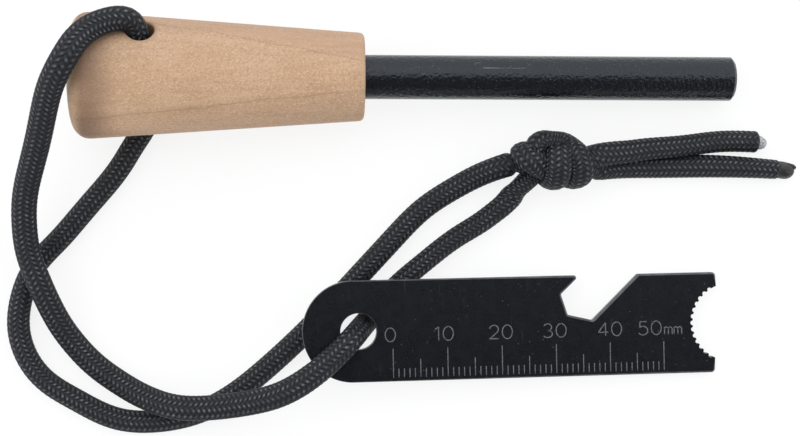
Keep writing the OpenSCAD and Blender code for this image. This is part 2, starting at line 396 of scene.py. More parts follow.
@dataclass
class Graph:
    """A node tree with short calls for adding and joining nodes."""

    tree: bpy.types.NodeTree
    material: Material | None = None

    @classmethod
    def of_material(cls, name: str) -> "Graph":
        """Start a new material with no nodes.

        Args:
            name: Name of the material.

        Returns:
            Its graph.
        """
        material = bpy.data.materials.new(name)
        material.use_nodes = True
        material.node_tree.nodes.clear()
        return cls(material.node_tree, material)

    def feed(self, socket: bpy.types.NodeSocket, value: Feed) -> None:
        """Join a socket, or set its value; a colour of three parts gets its fourth.

        Args:
            socket: The input.
            value: What goes in; none leaves it as it is.
        """
        if isinstance(value, Value):
            self.tree.links.new(value.socket, socket)
        elif value is not None:
            opaque = socket.type == "RGBA" and len(value) == 3
            socket.default_value = (*value, 1.0) if opaque else value

    def node(self, kind: str, given: dict[Key, Feed], output: Key = 0, **settings: object) -> Value:
        """Add a node.

        Args:
            kind: Blender's name of its type.
            given: What goes into its inputs, by name or number.
            output: Name or number of the output wanted.
            **settings: Properties of the node, which are set first.

        Returns:
            The output.
        """
        node = self.tree.nodes.new(kind)
        for key, setting in settings.items():
            setattr(node, key, setting)
        for key, value in given.items():
            self.feed(node.inputs[key], value)
        return Value(self, node.outputs[output])

    def math(self, operation: str, *values: Feed, clamp: bool = False) -> Value:
        """A Math node's result."""
        return self.node("ShaderNodeMath", dict(enumerate(values)), operation=operation, use_clamp=clamp)

    def highest(self, first: Value, *others: Value) -> Value:
        """The highest of several values.

        Args:
            first: One value.
            *others: The others.

        Returns:
            The highest.
        """
        for other in others:
            first = self.math("MAXIMUM", first, other)
        return first

    def mix(self, share: Feed, first: Feed, second: Feed, blend: str = "MIX") -> Value:
        """The first colour with a share of the second.

        Args:
            share: Share of the second, 0 to 1.
            first: First colour.
            second: Second colour.
            blend: How they go together.

        Returns:
            The colour.
        """
        given = {MIX_SHARE: share, MIX_FIRST: first, MIX_SECOND: second}
        kind = {"data_type": "RGBA", "blend_type": blend, "clamp_factor": True}
        return self.node("ShaderNodeMix", given, MIX_RESULT, **kind)

    def layered(self, base: Feed, *coats: tuple[Value, Colour]) -> Value:
        """A colour with others laid over it in turn.

        Args:
            base: The colour underneath.
            *coats: Share and colour of each coat.

        Returns:
            The colour.
        """
        for share, colour in coats:
            base = self.mix(share, base, colour)
        return base

    def span(self, value: Value, *ends: Feed, steps: str = "SMOOTHSTEP") -> Value:
        """Carry a value from the first two ends to 0 and 1, or to the next two, smoothly and clamped."""
        return self.node("ShaderNodeMapRange", dict(enumerate((value, *ends))), interpolation_type=steps)

    def effect(self, look: "SharedEffect", place: Value, **more: Feed) -> Value:
        """Place a shared effect with this material's own values, each field in the input of its name."""
        given = {key.capitalize(): value for key, value in {**vars(look), **more}.items()}
        return self.node("ShaderNodeGroup", {"Place": place, **given}, node_tree=look.tree())

    def place(self) -> Value:
        """Object coordinates, which are the row frame in metres."""
        return self.node("ShaderNodeTexCoord", {}, "Object")

    def in_handle(self) -> Value:
        """The handle's own coordinates.

        Returns:
            Metres from the middle of the butt, the first along the handle's axis.
        """
        given = {
            "Vector": self.place(),
            "Location": tuple(MM * v for v in LIE.butt_mid),
            "Rotation": (0.0, math.radians(LIE.lean_deg), 0.0),
        }
        return self.node("ShaderNodeMapping", given, vector_type="TEXTURE")

    def pattern(self) -> Value:
        """The piece's own pattern coordinates."""
        return self.node("ShaderNodeUVMap", {}, uv_map="Pattern")

    def split(self, vector: Value) -> list[Value]:
        """The three parts of a vector."""
        parts = self.node("ShaderNodeSeparateXYZ", {0: vector}).socket.node.outputs
        return [Value(self, part) for part in parts]

    def flat(self, first: Value, second: Value) -> Value:
        """A vector of two parts and zero."""
        return self.node("ShaderNodeCombineXYZ", {0: first, 1: second})

    def bump(self, height: Value, depth: float) -> Value:
        """A normal from a height; depth is in metres."""
        return self.node("ShaderNodeBump", {"Strength": 1.0, "Distance": depth, "Height": height})

    def close(self, shader: Value) -> Material:
        """Join a shader to the material's output and give the material."""
        self.feed(self.tree.nodes.new("ShaderNodeOutputMaterial").inputs["Surface"], shader)
        return self.material

    def shade(self, colour: Feed, rough: Feed, normal: Value, **sockets: Feed) -> Material:
        """Close the material with a Principled shader.

        Args:
            colour: Base colour.
            rough: Roughness.
            normal: Normal.
            **sockets: Other inputs, with _ for a space.

        Returns:
            The finished material.
        """
        named = {key.replace("_", " "): value for key, value in sockets.items()}
        given = {"Base Color": colour, "Roughness": rough, "Normal": normal, **named}
        return self.close(self.node("ShaderNodeBsdfPrincipled", given))


@dataclass(frozen=True)
class SharedEffect:
    """An effect that more than one material uses: a node group with an input for each field.

    One that goes over a colour also takes it in and puts it out.
    """

    over_colour: ClassVar[bool] = False

    @classmethod
    def tree(cls) -> bpy.types.NodeTree:
        """The effect's node group, built when it is first asked for.

        Returns:
            The group, with the inputs Place and one for each field, and one output.
        """
        known = bpy.data.node_groups.get(cls.__name__)
        if known is not None:
            return known
        tree = bpy.data.node_groups.new(cls.__name__, "ShaderNodeTree")
        kinds = {"Place": "Vector", "Stretch": "Vector", "Colour": "Color", "Tint": "Color"}
        result = "Colour" if cls.over_colour else "Value"
        names = ["Place", *(f.name.capitalize() for f in fields(cls))]
        names += ["Colour"] if cls.over_colour else []
        for side, name in (*(("INPUT", name) for name in names), ("OUTPUT", result)):
            kind = f"NodeSocket{kinds.get(name, 'Float')}"
            tree.interface.new_socket(name=name, in_out=side, socket_type=kind)
        g = Graph(tree)
        given = {socket.name: Value(g, socket) for socket in tree.nodes.new("NodeGroupInput").outputs}
        g.feed(tree.nodes.new("NodeGroupOutput").inputs[result], cls.result(g, given))
        return tree

    @staticmethod
    def stretched(g: Graph, given: dict[str, Value]) -> Value:
        """The place times the stretch."""
        pair = {0: given["Place"], 1: given["Stretch"]}
        return g.node("ShaderNodeVectorMath", pair, operation="MULTIPLY")

    @staticmethod
    def result(g: Graph, given: dict[str, Value]) -> Value:
        """What the group puts out, from its inputs; each effect has its own."""
        raise NotImplementedError


@dataclass(frozen=True)
class Grain(SharedEffect):
    """A noise: lumps in a metre, its octaves and their roughness, and the share of each axis that counts."""

    scale: float
    detail: float = 2.0
    rough: float = 0.5
    stretch: Point = (1.0, 1.0, 1.0)

    @staticmethod
    def result(g: Graph, given: dict[str, Value]) -> Value:
        """Noise at the stretched place."""
        sizes = {"Scale": given["Scale"], "Detail": given["Detail"], "Roughness": given["Rough"]}
        return g.node("ShaderNodeTexNoise", {"Vector": SharedEffect.stretched(g, given), **sizes})


@dataclass(frozen=True)
class Specks(SharedEffect):
    """A scatter of specks: their number in a metre, and where their rim ends and their core begins."""

    scale: float
    rim: float
    core: float
    stretch: Point = (1.0, 1.0, 1.0)

    @staticmethod
    def result(g: Graph, given: dict[str, Value]) -> Value:
        """1 within the core and 0 past the rim of the nearest point of the scatter."""
        scatter = {"Vector": SharedEffect.stretched(g, given), "Scale": given["Scale"]}
        return g.span(g.node("ShaderNodeTexVoronoi", scatter, "Distance"), given["Rim"], given["Core"])


@dataclass(frozen=True)
class Dust(SharedEffect):
    """Dust in clouds: its tint, its specks, clouds in a metre, and its share in thin and thick clouds."""

    over_colour: ClassVar[bool] = True
    tint: Colour
    scale: float
    rim: float
    core: float
    cloud: float
    thin: float
    thick: float
    least: float
    most: float

    @staticmethod
    def result(g: Graph, given: dict[str, Value]) -> Value:
        """Specks times clouds, mixed into a colour.

        Args:
            g: Graph of the group.
            given: The group's inputs.

        Returns:
            The colour with its dust.
        """
        specks = {key: given[key] for key in ("Place", "Scale", "Rim", "Core")}
        specks["Stretch"] = (1.0, 1.0, 1.0)
        mask = g.node("ShaderNodeGroup", specks, node_tree=Specks.tree())
        cloud = g.node("ShaderNodeTexNoise", {"Vector": given["Place"], "Scale": given["Cloud"]})
        share = g.span(cloud, *(given[key] for key in ("Thin", "Thick", "Least", "Most")))
        return g.mix(mask * share, given["Colour"], given["Tint"])


@dataclass(frozen=True)
class WoodFinish:
    """Pale sanded wood: two thin growth lines that close towards the neck, speckled between and below them.

    Lengths are in metres in the handle's own frame. The hole's spans are in radii of the eye.
    """

    light: Colour = (0.670, 0.437, 0.278)
    warm: Colour = (0.610, 0.387, 0.231)
    pink: Colour = (0.583, 0.372, 0.245)
    line: Colour = (0.300, 0.175, 0.105)
    fleck_dark: Colour = (0.395, 0.250, 0.150)
    fleck_pale: Colour = (0.800, 0.595, 0.415)
    bore: Colour = (0.260, 0.140, 0.085)
    # painted shade of the cord over the butt and of the butt's rounding, with some rubbing; it also darkens
    # the eye's mouth
    shade_and_rub: Colour = (0.200, 0.112, 0.074)
    # painted highlight on the butt's rim, where its rounding catches light
    rim: Colour = (0.800, 0.580, 0.400)
    # painted shade: the handle is multiplied darker towards its +y side
    far_side_shade: Colour = (0.70, 0.70, 0.70)
    line_mid: Spot = (0.00146, -0.031)
    line_half: Spot = (0.00989, -0.143)
    eye_at: float = 0.0125
    eye_r: float = 0.0025
    wander: Grain = Grain(170.0, stretch=(0.35, 1.0, 0.4))
    cloud: Grain = Grain(230.0, 3.0, stretch=(0.35, 1.0, 1.0))
    streak: Grain = Grain(900.0, 3.0, 0.55, (0.06, 1.0, 1.0))
    fleck: Grain = Grain(3300.0, 2.0, 0.65, (0.75, 1.0, 1.0))
    lathe: Grain = Grain(2600.0, stretch=(1.0, 0.05, 0.05))
    pores: Specks = Specks(2100.0, 0.24, 0.10, (0.5, 1.0, 1.0))
    wander_mid: float = 0.5
    wander_reach: float = 0.0022
    warm_span: Span = (0.32, 0.68)
    outer_span: Span = (0.85, 1.35)
    outer_share: float = 0.75
    streak_span: Span = (0.42, 0.70, 0.0, 0.16)
    thin_span: Span = (0.004, 0.040, 1.0, 0.0)
    thin_share: Span = (0.25, 0.60, 0.15, 0.46)
    soft_span: Span = (0.0, 0.20, 0.13, 0.0)
    inner_ring: float = 0.62
    inner_span: Span = (0.0, 0.10, 0.08, 0.0)
    fleck_share: Span = (0.0, 1.0, 1.0, 0.45)
    dark_span: Span = (0.50, 0.72, 0.0, 0.62)
    pale_span: Span = (0.48, 0.28, 0.0, 0.60)
    pore_share: Span = (0.38, 0.62, 0.05, 0.45)
    far_shade_span: Span = (-0.0095, 0.0105)
    bow_mid: float = -0.004
    bow: float = 14.0
    shade_rub_start: Span = (0.0007, 0.0030)
    shade_rub_stop: Span = (0.0100, 0.0034)
    shade_rub_up: Span = (-0.002, 0.004)
    shade_rub_share: Span = (0.3, 0.7, 0.62, 0.80)
    rim_highlight_start: Span = (0.0, 0.0002)
    rim_highlight_stop: Span = (0.0018, 0.0005)
    rim_highlight_share: float = 0.45
    bore_span: Span = (1.16, 1.01, 0.0, 0.90)
    mouth_span: Span = (1.5, 1.0, 0.0, 0.25)
    fleck_rise: float = 0.7
    lathe_rise: float = 0.3
    line_drop: float = 0.4
    relief: float = 0.00008
    rough: Span = (0.3, 0.7, 0.52, 0.70)
    gloss: float = 0.35

    def material(self) -> Material:
        """Growth lines as a wedge in the handle's frame, with flecks, pores, a dark bore, painted shade and a
        painted highlight.

        The ring number is the distance across from the wedge's middle over its half width, which both change
        evenly along the handle; a line stands at ring 1 and fainter ones beside it. The band near the butt is
        bowed and holds painted shade of the cord and of the butt's rounding, with some rubbing; the butt's
        rim has a painted highlight, and the handle's +y side has painted shade.

        Returns:
            The material.
        """
        g = Graph.of_material("turned_wood")
        local = g.in_handle()
        x, y, z = g.split(local)
        grains = (self.wander, self.cloud, self.streak, self.fleck, self.lathe)
        wander, cloud, streak, fleck, lathe = (g.effect(grain, local) for grain in grains)
        middle, half = (x * slope + start for start, slope in (self.line_mid, self.line_half))
        across = y - middle + (wander - self.wander_mid) * self.wander_reach
        ring = abs(across) / half
        outer = g.span(ring, *self.outer_span)
        off = abs(ring - 1.0)
        thin = g.span(off, *self.thin_span) * g.span(wander, *self.thin_share)
        inner = g.span(abs(ring - self.inner_ring), *self.inner_span)
        flecked = g.span(outer * (across > 0.0), *self.fleck_share)
        pit = g.effect(self.pores, local) * g.span(cloud, *self.pore_share)
        bowed = x + (y - self.bow_mid) ** 2.0 * self.bow
        # bowed band near the butt: painted shade of the cord and of the rounding, with some rubbing
        rub = g.span(bowed, *self.shade_rub_start) * g.span(bowed, *self.shade_rub_stop) * g.span(z, *self.shade_rub_up)
        # painted highlight on the butt's rim
        rim = g.span(x, *self.rim_highlight_stop) * g.span(x, *self.rim_highlight_start)
        from_axis = ((y - z) * math.sqrt(0.5)) ** 2.0
        hole = g.math("SQRT", (x - self.eye_at) ** 2.0 + from_axis) / self.eye_r
        grown = g.layered(
            g.mix(g.span(cloud, *self.warm_span), self.light, self.warm),
            (outer * self.outer_share, self.pink),
            (g.span(streak, *self.streak_span), self.line),
            (g.highest(thin, g.span(off, *self.soft_span), inner), self.line),
            (g.span(fleck, *self.dark_span) * flecked, self.fleck_dark),
            (g.span(fleck, *self.pale_span) * flecked, self.fleck_pale),
            (pit * flecked, self.fleck_dark),
        )
        used = g.layered(
            # painted shade, darker towards the handle's +y side
            g.mix(g.span(y, *self.far_shade_span, steps="LINEAR"), grown, self.far_side_shade, "MULTIPLY"),
            # painted shade, with some rubbing, in the bowed band at the butt
            (rub * g.span(cloud, *self.shade_rub_share), self.shade_and_rub),
            # painted highlight on the butt's rim
            (rim * self.rim_highlight_share, self.rim),
            (g.span(hole, *self.bore_span), self.bore),
            (g.span(hole, *self.mouth_span), self.shade_and_rub),
        )
        height = fleck * self.fleck_rise + lathe * self.lathe_rise - thin * self.line_drop
        normal = g.bump(height, self.relief)
        return g.shade(used, g.span(fleck, *self.rough), normal, Specular_IOR_Level=self.gloss)


@dataclass(frozen=True)
class Scratch:
    """A scratch along the rod, in millimetres: where it starts and stops, its place across and its width."""

    start: float
    stop: float
    aside: float
    width: float


@dataclass(frozen=True)
class RodFinish:
    """Satin black coat over a cast rod: fine grit, a few bright scratches and pale dust."""

    coat: Colour = (0.0036, 0.0042, 0.0062)
    gritty: Colour = (0.0090, 0.0105, 0.0140)
    bright: Colour = (0.25, 0.25, 0.25)
    tint: Colour = (0.82, 0.90, 1.0)
    scratches: tuple[Scratch, ...] = (
        Scratch(72.8, 81.0, 1.42, 0.055), Scratch(71.4, 73.2, 2.35, 0.05), Scratch(67.0, 68.2, 2.9, 0.04))
    grit: Grain = Grain(3600.0, 2.0, 0.5)
    lumps: Grain = Grain(1850.0, 0.5, 0.5)
    streak: Grain = Grain(1500.0, 3.0, 0.6, (0.10, 1.0, 1.0))
    dust: Dust = Dust((0.16, 0.16, 0.165), 1500.0, 0.18, 0.06, 260.0, 0.40, 0.62, 0.05, 0.70)
    gritty_span: Span = (0.45, 0.72)
    grit_mid: float = 0.5
    ragged: float = 0.00018
    scratch_edge: Span = (1.6, 0.5)
    fade_in: float = 1.0
    fade_out: float = 0.8
    scratch_share: Span = (0.30, 0.62, 0.25, 1.0)
    grit_rise: float = 0.42
    streak_rise: float = 0.10
    lump_rise: float = 0.56
    scratch_drop: float = 0.6
    relief: float = 0.00018
    rough: Span = (0.30, 0.75, 0.05, 0.12)
    gloss: float = 0.50

    def strip(self, g: Graph, along: Value, side: Value, scratch: Scratch) -> Value:
        """Mask of one scratch: thin across, and fading at both ends.

        Args:
            g: Graph of the material.
            along: Distance along the rod.
            side: Distance across it.
            scratch: The scratch.

        Returns:
            The mask.
        """
        edge = (share * scratch.width * MM for share in self.scratch_edge)
        thin = g.span(abs(side - scratch.aside * MM), *edge)
        start = g.span(along, scratch.start * MM, (scratch.start + self.fade_in) * MM)
        return thin * (start * g.span(along, scratch.stop * MM, (scratch.stop - self.fade_out) * MM))

    def material(self) -> Material:
        """Fine grit in colour and height, and scratches as thin ragged strips in the rod's own frame.

        Returns:
            The material.
        """
        g = Graph.of_material("rod_coat")
        local = g.in_handle()
        x, y, z = g.split(local)
        grit, streak, lumps = (g.effect(grain, local) for grain in (self.grit, self.streak, self.lumps))
        side = y + (grit - self.grit_mid) * self.ragged
        marks = g.highest(*(self.strip(g, x, side, scratch) for scratch in self.scratches))
        marks = marks * (z > 0.0) * g.span(streak, *self.scratch_share)
        base = g.mix(g.span(grit, *self.gritty_span), self.coat, self.gritty)
        base = g.mix(marks, g.effect(self.dust, local, colour=base), self.bright)
        height = grit * self.grit_rise + streak * self.streak_rise + lumps * self.lump_rise
        normal = g.bump(height - marks * self.scratch_drop, self.relief)
        rough = g.span(grit, *self.rough)
        return g.shade(base, rough, normal, Specular_IOR_Level=self.gloss, Specular_Tint=self.tint)


@dataclass(frozen=True)
class GlueFinish:
    """Cured amber glue with small bubbles."""

    amber: Colour = (0.44, 0.30, 0.12)
    deep: Colour = (0.20, 0.11, 0.035)
    bubble: Colour = (0.62, 0.50, 0.28)
    cloud: Grain = Grain(900.0, 3.0, 0.6)
    bubbles: Specks = Specks(2600.0, 0.30, 0.12)
    deep_span: Span = (0.35, 0.65)
    bubble_share: float = 0.4
    relief: float = 0.00006
    rough: Span = (0.3, 0.7, 0.18, 0.34)

    def material(self) -> Material:
        """Cloudy amber with bubbles as specks.

        Returns:
            The material.
        """
        g = Graph.of_material("amber_glue")
        place = g.place()
        cloud, bubbles = g.effect(self.cloud, place), g.effect(self.bubbles, place)
        base = g.mix(g.span(cloud, *self.deep_span), self.amber, self.deep)
        base = g.mix(bubbles * self.bubble_share, base, self.bubble)
        return g.shade(base, g.span(cloud, *self.rough), g.bump(cloud - bubbles, self.relief))


@dataclass(frozen=True)
class PlateFinish:
    """Black coat on steel: faint mottling, pale dust, fine rub marks, and worn edges that carry a painted
    highlight.
    """

    coat: Colour = (0.0020, 0.0024, 0.0035)
    cast: Colour = (0.0032, 0.0036, 0.0050)
    worn_and_highlight: Colour = (0.115, 0.115, 0.124)
    # edge wear and a painted highlight along the rounded edges
    rub_mark: Colour = (0.10, 0.10, 0.11)
    tint: Colour = (0.84, 0.90, 1.0)
    mottle: Grain = Grain(520.0, 4.0, 0.6)
    fine: Grain = Grain(5200.0, 2.0, 0.6)
    rub: Grain = Grain(2400.0, stretch=(1.0, 0.06, 1.0))
    dust: Dust = Dust((0.17, 0.17, 0.18), 900.0, 0.11, 0.045, 120.0, 0.46, 0.62, 0.0, 0.6)
    cast_span: Span = (0.35, 0.70)
    rub_span: Span = (0.66, 0.78, 0.0, 0.10)
    edge_span: Span = (0.10, 0.65)
    worn_highlight_share: Span = (0.30, 0.70, 0.50, 1.0)
    fine_rise: float = 0.5
    mottle_rise: float = 0.15
    relief: float = 0.00005
    rough: Span = (0.30, 0.75, 0.26, 0.30)
    gloss: float = 0.29

    def material(self) -> Material:
        """Coat with dust and rubbing, and edges of wear and painted highlight; the pattern's first coordinate
        is 1 on the rounded edge and 0 inside.

        Returns:
            The material.
        """
        g = Graph.of_material("striker_coat")
        place = g.place()
        edge, _, _ = g.split(g.pattern())
        mottle, fine, rub = (g.effect(grain, place) for grain in (self.mottle, self.fine, self.rub))
        base = g.mix(g.span(mottle, *self.cast_span), self.coat, self.cast)
        base = g.layered(
            g.effect(self.dust, place, colour=base),
            (g.span(rub, *self.rub_span), self.rub_mark),
            # rounded edges: wear and a painted highlight
            (g.span(edge, *self.edge_span) * g.span(mottle, *self.worn_highlight_share), self.worn_and_highlight),
        )
        normal = g.bump(fine * self.fine_rise + mottle * self.mottle_rise, self.relief)
        rough = g.span(mottle, *self.rough)
        return g.shade(base, rough, normal, Specular_IOR_Level=self.gloss, Specular_Tint=self.tint)


@dataclass(frozen=True)
class MarkFinish:
    """Pale grey burnt-in marks, a little broken."""

    pale: Colour = (0.155, 0.155, 0.163)
    faint: Colour = (0.055, 0.055, 0.060)
    grain: Grain = Grain(4200.0, 3.0, 0.65)
    pale_span: Span = (0.34, 0.58)
    relief: float = 0.00002
    rough: float = 0.62
    gloss: float = 0.3

    def material(self) -> Material:
        """Two greys by fine noise.

        Returns:
            The material.
        """
        g = Graph.of_material("scale_marks")
        grain = g.effect(self.grain, g.place())
        base = g.mix(g.span(grain, *self.pale_span), self.faint, self.pale)
        return g.shade(base, self.rough, g.bump(grain, self.relief), Specular_IOR_Level=self.gloss)


@dataclass(frozen=True)
class BraidFinish:
    """Black nylon braid: painted shade in the gaps, painted glints on the yarn crowns, fine fibres along each
    yarn.
    """

    # painted shade in the gaps between the yarns
    gap: Colour = (0.0020, 0.0020, 0.0026)
    yarn: Colour = (0.0124, 0.0134, 0.0176)
    # painted highlight on the yarn crowns; bead and narrow set its shape
    painted_glint: Colour = (0.180, 0.189, 0.215)
    bead: float = 4.5
    narrow: float = 1.7
    fibre_count: float = 14.0
    fibres: Grain = Grain(1.0, 2.0, 0.6)
    cloud: Grain = Grain(420.0, 2.0, 0.6)
    yarn_span: Span = (0.15, 0.75)
    painted_glint_span: Span = (0.45, 1.0)
    fibre_share: Span = (0.30, 0.70, 0.25, 1.0)
    cloud_share: Span = (0.32, 0.68, 0.25, 1.0)
    fibre_rise: float = 0.16
    relief: float = 0.00016
    rough: Span = (0.3, 0.7, 0.40, 0.58)
    gloss: float = 0.30

    def material(self) -> Material:
        """Two families of yarns that pass over two and under two, from the pattern coordinates.

        With u stitches along and v columns round, yarns of one hand lie where v + u is whole and of the other
        where v - u is whole. A yarn's height is the cosine of a quarter turn for each crossing, less its
        rounded side.

        Returns:
            The material.
        """
        g = Graph.of_material("black_braid")
        u, v, _ = g.split(g.pattern())
        a, b = v + u, v - u
        heights, peaks = [], []
        for own, other, phase in zip((a, b), (b, a), YARN.phases):
            index = g.math("ROUND", own)
            lift = g.math("COSINE", (index + other - phase) * (math.pi / 2)) * 0.5 + 0.5
            side = (abs(own - index) * 2.0) ** YARN.side_power * YARN.side_drop
            heights.append(lift - side)
            peaks.append(lift**self.bead - side * self.narrow)
        height, peak = (g.math("MAXIMUM", *pair, clamp=True) for pair in (heights, peaks))
        first, second = g.flat(a * self.fibre_count, b), g.flat(b * self.fibre_count, a)
        fibres = g.effect(self.fibres, g.mix(heights[0] > heights[1], second, first))
        cloud = g.effect(self.cloud, g.place())
        # painted highlight: glints on the yarn crowns
        painted_glint_mask = g.span(peak, *self.painted_glint_span) * g.span(fibres, *self.fibre_share)
        # painted shade in the gaps, the yarn's own colour on the raised yarns
        base = g.mix(g.span(height, *self.yarn_span), self.gap, self.yarn)
        base = g.mix(painted_glint_mask * g.span(cloud, *self.cloud_share), base, self.painted_glint)
        normal = g.bump(height + fibres * self.fibre_rise, self.relief)
        return g.shade(base, g.span(fibres, *self.rough), normal, Specular_IOR_Level=self.gloss)


@dataclass(frozen=True)
class MeltFinish:
    """A melted cord end: lumpy, part glossy, with streaks of the other colour."""

    name: str
    main: Colour
    streak: Colour
    rough: Span
    lumps: Grain = Grain(1500.0, 3.0, 0.6)
    fine: Grain = Grain(5200.0, 2.0, 0.6)
    streak_span: Span = (0.42, 0.66)
    fine_rise: float = 0.3
    relief: float = 0.00018

    def material(self) -> Material:
        """Noise streaks in two colours with a glossy skin.

        Returns:
            The material.
        """
        g = Graph.of_material(self.name)
        place = g.place()
        lumps, fine = g.effect(self.lumps, place), g.effect(self.fine, place)
        base = g.mix(g.span(lumps, *self.streak_span), self.main, self.streak)
        return g.shade(base, g.span(fine, *self.rough), g.bump(lumps + fine * self.fine_rise, self.relief))


def dress(piece: Piece, finish: Material) -> None:
    """Give a piece one material."""
    piece.data.materials.clear()
    piece.data.materials.append(finish)


@dataclass(frozen=True)
class Threading:
    """Where the cord passes through the handle's eye and the striker's hole, in millimetres."""

    eye_mid: Point = (-46.9542, 21.9789, 10.6848)
    eye_axis: Point = (0.0444363, 0.707107, 0.705709)
    eye_reach: float = 10.66
    eye_step: float = 5.0
    lean: float = 0.6
    hole_mid: Point = (-8.62291, -24.1195, 6.07072)
    way: Point = (0.68, 0.733, 0.0)
    drop: float = 3.9
    bends: tuple[Spot, ...] = (
        (-4.4, 1.0), (-2.6, 0.9), (-1.2, 0.6), (0.0, 0.0), (1.2, -0.6), (2.6, -0.9), (4.4, -1.0))

    def on_eye(self, *far: float) -> Array:
        """Points on the eye's axis at distances from its middle."""
        return np.array(self.eye_mid) + np.array(far)[:, None] * np.array(self.eye_axis)

    def leaning(self) -> Array:
        """The upper mouth, where the cord leans on the eye's butt side."""
        return self.on_eye(self.eye_reach) - np.array([self.lean, 0.0, 0.0])

    def through_hole(self) -> Array:
        """Points over the plate, down through the hole and under the plate."""
        bends = np.array(self.bends)
        return np.array(self.hole_mid) + bends[:, :1] * np.array(self.way) + bends[:, 1:] * (self.drop * UP)


@dataclass(frozen=True)
class CordRoute:
    """The route of the cord as it lies in the solids, in millimetres."""

    rear_run: tuple[Point, ...] = (
        (9, 2, 2), (3, -2, 2), (-2, -7, 2), (-8, -13.5, 2), (-14.5, -20.5, 2), (-20.5, -26.5, 2),
        (-26, -31.5, 2), (-31, -35.5, 2), (-38.5, -39.5, 2), (-45.5, -41, 2), (-53.5, -40.5, 2),
        (-61, -37, 2), (-66.5, -33.5, 2), (-70, -29, 2), (-71.5, -23.5, 2), (-71, -18.5, 2),
        (-68.5, -12.5, 2), (-64, -7.5, 2), (-60.5, -3.5, 2))
    rear_bight: tuple[Point, ...] = (
        (-57.5, 0, 2), (-54.5, 3.5, 2), (-52, 7, 2), (-50.5, 9.5, 2), (-49, 11.8, 2.05), (-48.1, 13.2, 2.4))
    front_bight: tuple[Point, ...] = (
        (-47.9, 30.8, 19.5), (-49.4, 31.1, 20.4), (-51.3, 30.7, 21.0), (-53.5, 29.7, 22), (-56, 27.4, 23.8),
        (-58, 24, 25.2), (-60.8, 19.5, 23.1), (-62.8, 15, 19.8), (-64.7, 10, 16.2), (-66.8, 5, 12.7))
    front_run: tuple[Point, ...] = (
        (-68.5, 0, 9.7), (-69, -5, 7.8), (-68.5, -10, 6.8), (-67, -14.5, 6.2), (-64.5, -21, 4),
        (-60.5, -27.5, 2.2), (-55, -32.5, 2), (-47.5, -36.5, 3.8), (-41.5, -38, 5.9), (-35.5, -38, 6.5),
        (-28.5, -37, 7.6), (-22, -35, 9.7), (-14.5, -30, 10.45))
    striker_run: tuple[Point, ...] = ((-3, -17.5, 2), (3, -12, 2), (9.5, -7, 2))
    tail_upper: tuple[Point, ...] = ((42.5, 8.9, 4.5), (50.5, 9.7, 3.4), (58, 10.6, 2.3), (65.7, 10.5, 2))
    tail_lower: tuple[Point, ...] = ((44, 6, 2), (53, 6.1, 2), (61.5, 5.9, 2), (69.7, 5.35, 2))


